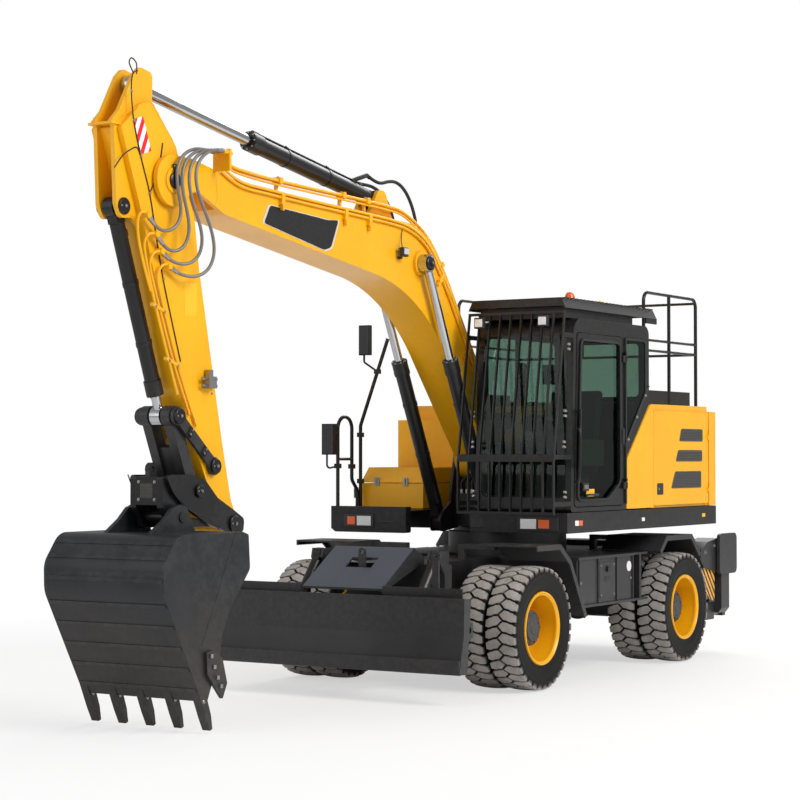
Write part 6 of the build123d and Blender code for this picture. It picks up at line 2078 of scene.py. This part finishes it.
class EXCAVATOR_OT_chassis(bpy.types.Operator):
    """Fit the side boxes' flanges and latches, the stickers and boards, and the axles' covers and drive shaft
    """

    bl_idname = "excavator.chassis"
    bl_label = "Chassis fittings"

    def execute(self, context):
        self.side_boxes()
        self.signs()
        self.axles()
        return {"FINISHED"}

    def side_boxes(self):
        shape, latches, bolts = Shape(), Shape(), Shape()
        for side in (1, -1):
            y = reach(side, BOX_FACE - 6, BOX_FACE + 22)
            shape.slab((-560, 600), y, (1066, 1092))
            shape.slab((-560, 600), y, (638, 664))
            for x in (-540, -200, 180, 560):
                shape.slab(
                    (x - 8, x + 8), reach(side, BOX_FACE - 4, BOX_FACE + 14), (664, 1066))
            door = [(-170, 700), (150, 700), (150, 1030), (-170, 1030)]
            shape.plate(rounded(door, 26), reach(side, BOX_FACE - 2, BOX_FACE + 6))
            slot = [(-70, 850), (50, 850), (50, 895), (-70, 895)]
            latches.plate(rounded(slot, 20), reach(side, BOX_FACE + 4, BOX_FACE + 10))
            latches.slab((-36, 16), reach(side, BOX_FACE + 6, BOX_FACE + 24), (940, 990))
            for x, z in ((-140, 730), (120, 730), (-140, 1000), (120, 1000)):
                bolts.bolt((x, side * (BOX_FACE + 6), z), (0, side, 0), 13)
            for x in (-500, 520):
                bolts.bolt((x, side * (BOX_FACE + 1), 860), (0, side, 0), 18)
        shape.piece("side_box_flanges", "chassis", "grey", "grey_paint", bevel=4)
        latches.piece("side_box_latches", "chassis", "black", "black_paint", bevel=4)
        bolts.piece("side_box_bolts", "chassis", "steel", "steel")

    def signs(self):
        """A blank round sticker, and the striped and bare boards at the rear."""
        for hand, side in HANDS:
            sign = Shape()
            sign.turned((-470, side * (BOX_FACE + 1), 970), (0, side, 0), [(-1, 48), (1.5, 48)], sides=40)
            sign.piece(f"{hand}_round_sign", "chassis", "white", "lamp")
            board = [(10, 520), (10, 890), (340, 890), (270, 655), (130, 535)]
            stripes = Shape()
            outline = [(REAR_BOARD_X + x, z) for x, z in framed(board, 12)]
            stripes.plate(outline, reach(side, 1134, 1138))
            stripes.piece(f"{hand}_striped_board", "chassis", "black_yellow", "lamp")
            pad = Shape()
            pad.slab((REAR_BOARD_X + 60, REAR_BOARD_X + 250), reach(side, 1135, 1150), (930, 1010))
            pad.piece(f"{hand}_bright_pad", "chassis", "pale", "steel", bevel=5)
            bolts = Shape()
            for x, z in ((REAR_BOARD_X + 90, 1090), (REAR_BOARD_X + 320, 1030)):
                bolts.bolt((x, side * 1165, z), (0, side, 0), 24)
            bolts.piece(f"{hand}_cheek_bolts", "chassis", "steel", "steel")

    def axles(self):
        """Differential covers and the drive shaft between the axles."""
        shape, bolts = Shape(), Shape()
        shape.rod((-1290, 0, 560), (1290, 0, 560), 48, sides=24, chamfer=4)
        for way in (1, -1):
            x = way * HALF_WHEELBASE
            shape.turned(
                (x + way * 150, 0, AXLE_Z), (way, 0, 0),
                [(-30, 178), (10, 176), (42, 120), (50, 60), (51, 1)],
                sides=36)
            for i in range(12):
                turn = math.tau * i / 12
                spot = (x + way * 158, 160 * math.cos(turn), AXLE_Z + 160 * math.sin(turn))
                bolts.bolt(spot, (way, 0, 0), 15)
        shape.piece("axle_covers", "chassis", "hub", "grey_paint", bevel=2)
        bolts.piece("axle_bolts", "chassis", "steel", "steel")


class EXCAVATOR_OT_blade(bpy.types.Operator):
    """Fit the blade's cutting edge, the painted sky reflection on its sloping cover, and the outriggers' foot
    pins
    """

    bl_idname = "excavator.blade"
    bl_label = "Blade and outriggers"

    def execute(self, context):
        low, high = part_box("blade")
        front = high.x * 1000 + ORIGIN_X
        half = high.y * 1000
        bottom = low.z * 1000
        shape = Shape()
        shape.slab((front - 26, front + 2), (-half + 4, half - 4), (bottom + 6, bottom + 120))
        shape.piece("blade_edge", "blade", "grey", "steel", bevel=3)
        self.cover()
        for hand, side in HANDS:
            pins = Shape()
            x, y, z = OUTRIGGER_PIN
            for end in (1, -1):
                pins.turned(
                    (x + end * 102, side * y, z), (end, 0, 0),
                    [(-4, 44), (12, 44), (18, 36), (19, 14)], sides=28)
            pins.piece(f"{hand}_outrigger_pins", f"{hand}_outrigger", "steel", "steel", bevel=1.5)
        return {"FINISHED"}

    def cover(self):
        """The bluish sheet on the sloping cover, a painted sky reflection on its upward faces, left open
        round the slot of its eye.
        """
        shape = Shape()
        top, bend, end = Vector((2062, 1152)), Vector((2195, 1222)), Vector((2698, 903))
        slope = (end - bend).normalized()
        slot = (bend + slope * 158, bend + slope * 304)
        # each plate is a thin sheet of painted sky reflection over the grey cover
        for a, b, y in (
            (top, bend, (-397, 397)), (bend, end, (132, 397)), (bend, end, (-397, -132)),
            (bend, slot[0], (-133, 133)), (slot[1], end, (-133, 133)),
        ):
            out = Vector((-(b - a).y, (b - a).x)).normalized() * 5
            shape.plate([tuple(a - out), tuple(b - out), tuple(b + out * 0.5), tuple(a + out * 0.5)], y)
        shape.piece("blade_cover_reflection_sheet", "chassis", "cover", "grey_paint")


# ---------------------------------------------------------------- the panel, and the order of work
STEPS = [
    EXCAVATOR_OT_stage,
    EXCAVATOR_OT_paint,
    EXCAVATOR_OT_tyres,
    EXCAVATOR_OT_wheels,
    EXCAVATOR_OT_hoses,
    EXCAVATOR_OT_boom_pipes,
    EXCAVATOR_OT_boom,
    EXCAVATOR_OT_arm,
    EXCAVATOR_OT_rams,
    EXCAVATOR_OT_bucket,
    EXCAVATOR_OT_links,
    EXCAVATOR_OT_cab,
    EXCAVATOR_OT_hood,
    EXCAVATOR_OT_deck,
    EXCAVATOR_OT_chassis,
    EXCAVATOR_OT_blade,
]
SETTINGS = {
    "finish": ExcavatorFinish, "tyres": ExcavatorTyres, "hoses": ExcavatorHoses, "stage": ExcavatorStage,
}


class EXCAVATOR_PT_panel(bpy.types.Panel):
    """The steps that fit out the machine, in their order"""

    bl_idname = "EXCAVATOR_PT_panel"
    bl_label = "Wheeled excavator"
    bl_space_type = "VIEW_3D"
    bl_region_type = "UI"
    bl_category = "Excavator"

    def draw(self, context):
        layout = self.layout
        for name in SETTINGS:
            box = layout.box()
            group_of = settings(name)
            for key in group_of.bl_rna.properties.keys():
                if key not in {"rna_type", "name"}:
                    box.prop(group_of, key)
        for step in STEPS:
            layout.operator(step.bl_idname)


def register():
    for cls in (*SETTINGS.values(), *STEPS, EXCAVATOR_PT_panel):
        bpy.utils.register_class(cls)
    for name, cls in SETTINGS.items():
        setattr(bpy.types.Scene, f"excavator_{name}", bpy.props.PointerProperty(type=cls))


def unregister():
    for name in SETTINGS:
        delattr(bpy.types.Scene, f"excavator_{name}")
    for cls in reversed((*SETTINGS.values(), *STEPS, EXCAVATOR_PT_panel)):
        bpy.utils.unregister_class(cls)


def main():
    register()
    for step in STEPS:
        area, action = step.bl_idname.split(".")
        getattr(getattr(bpy.ops, area), action)()


if __name__ == "__main__":
    main()
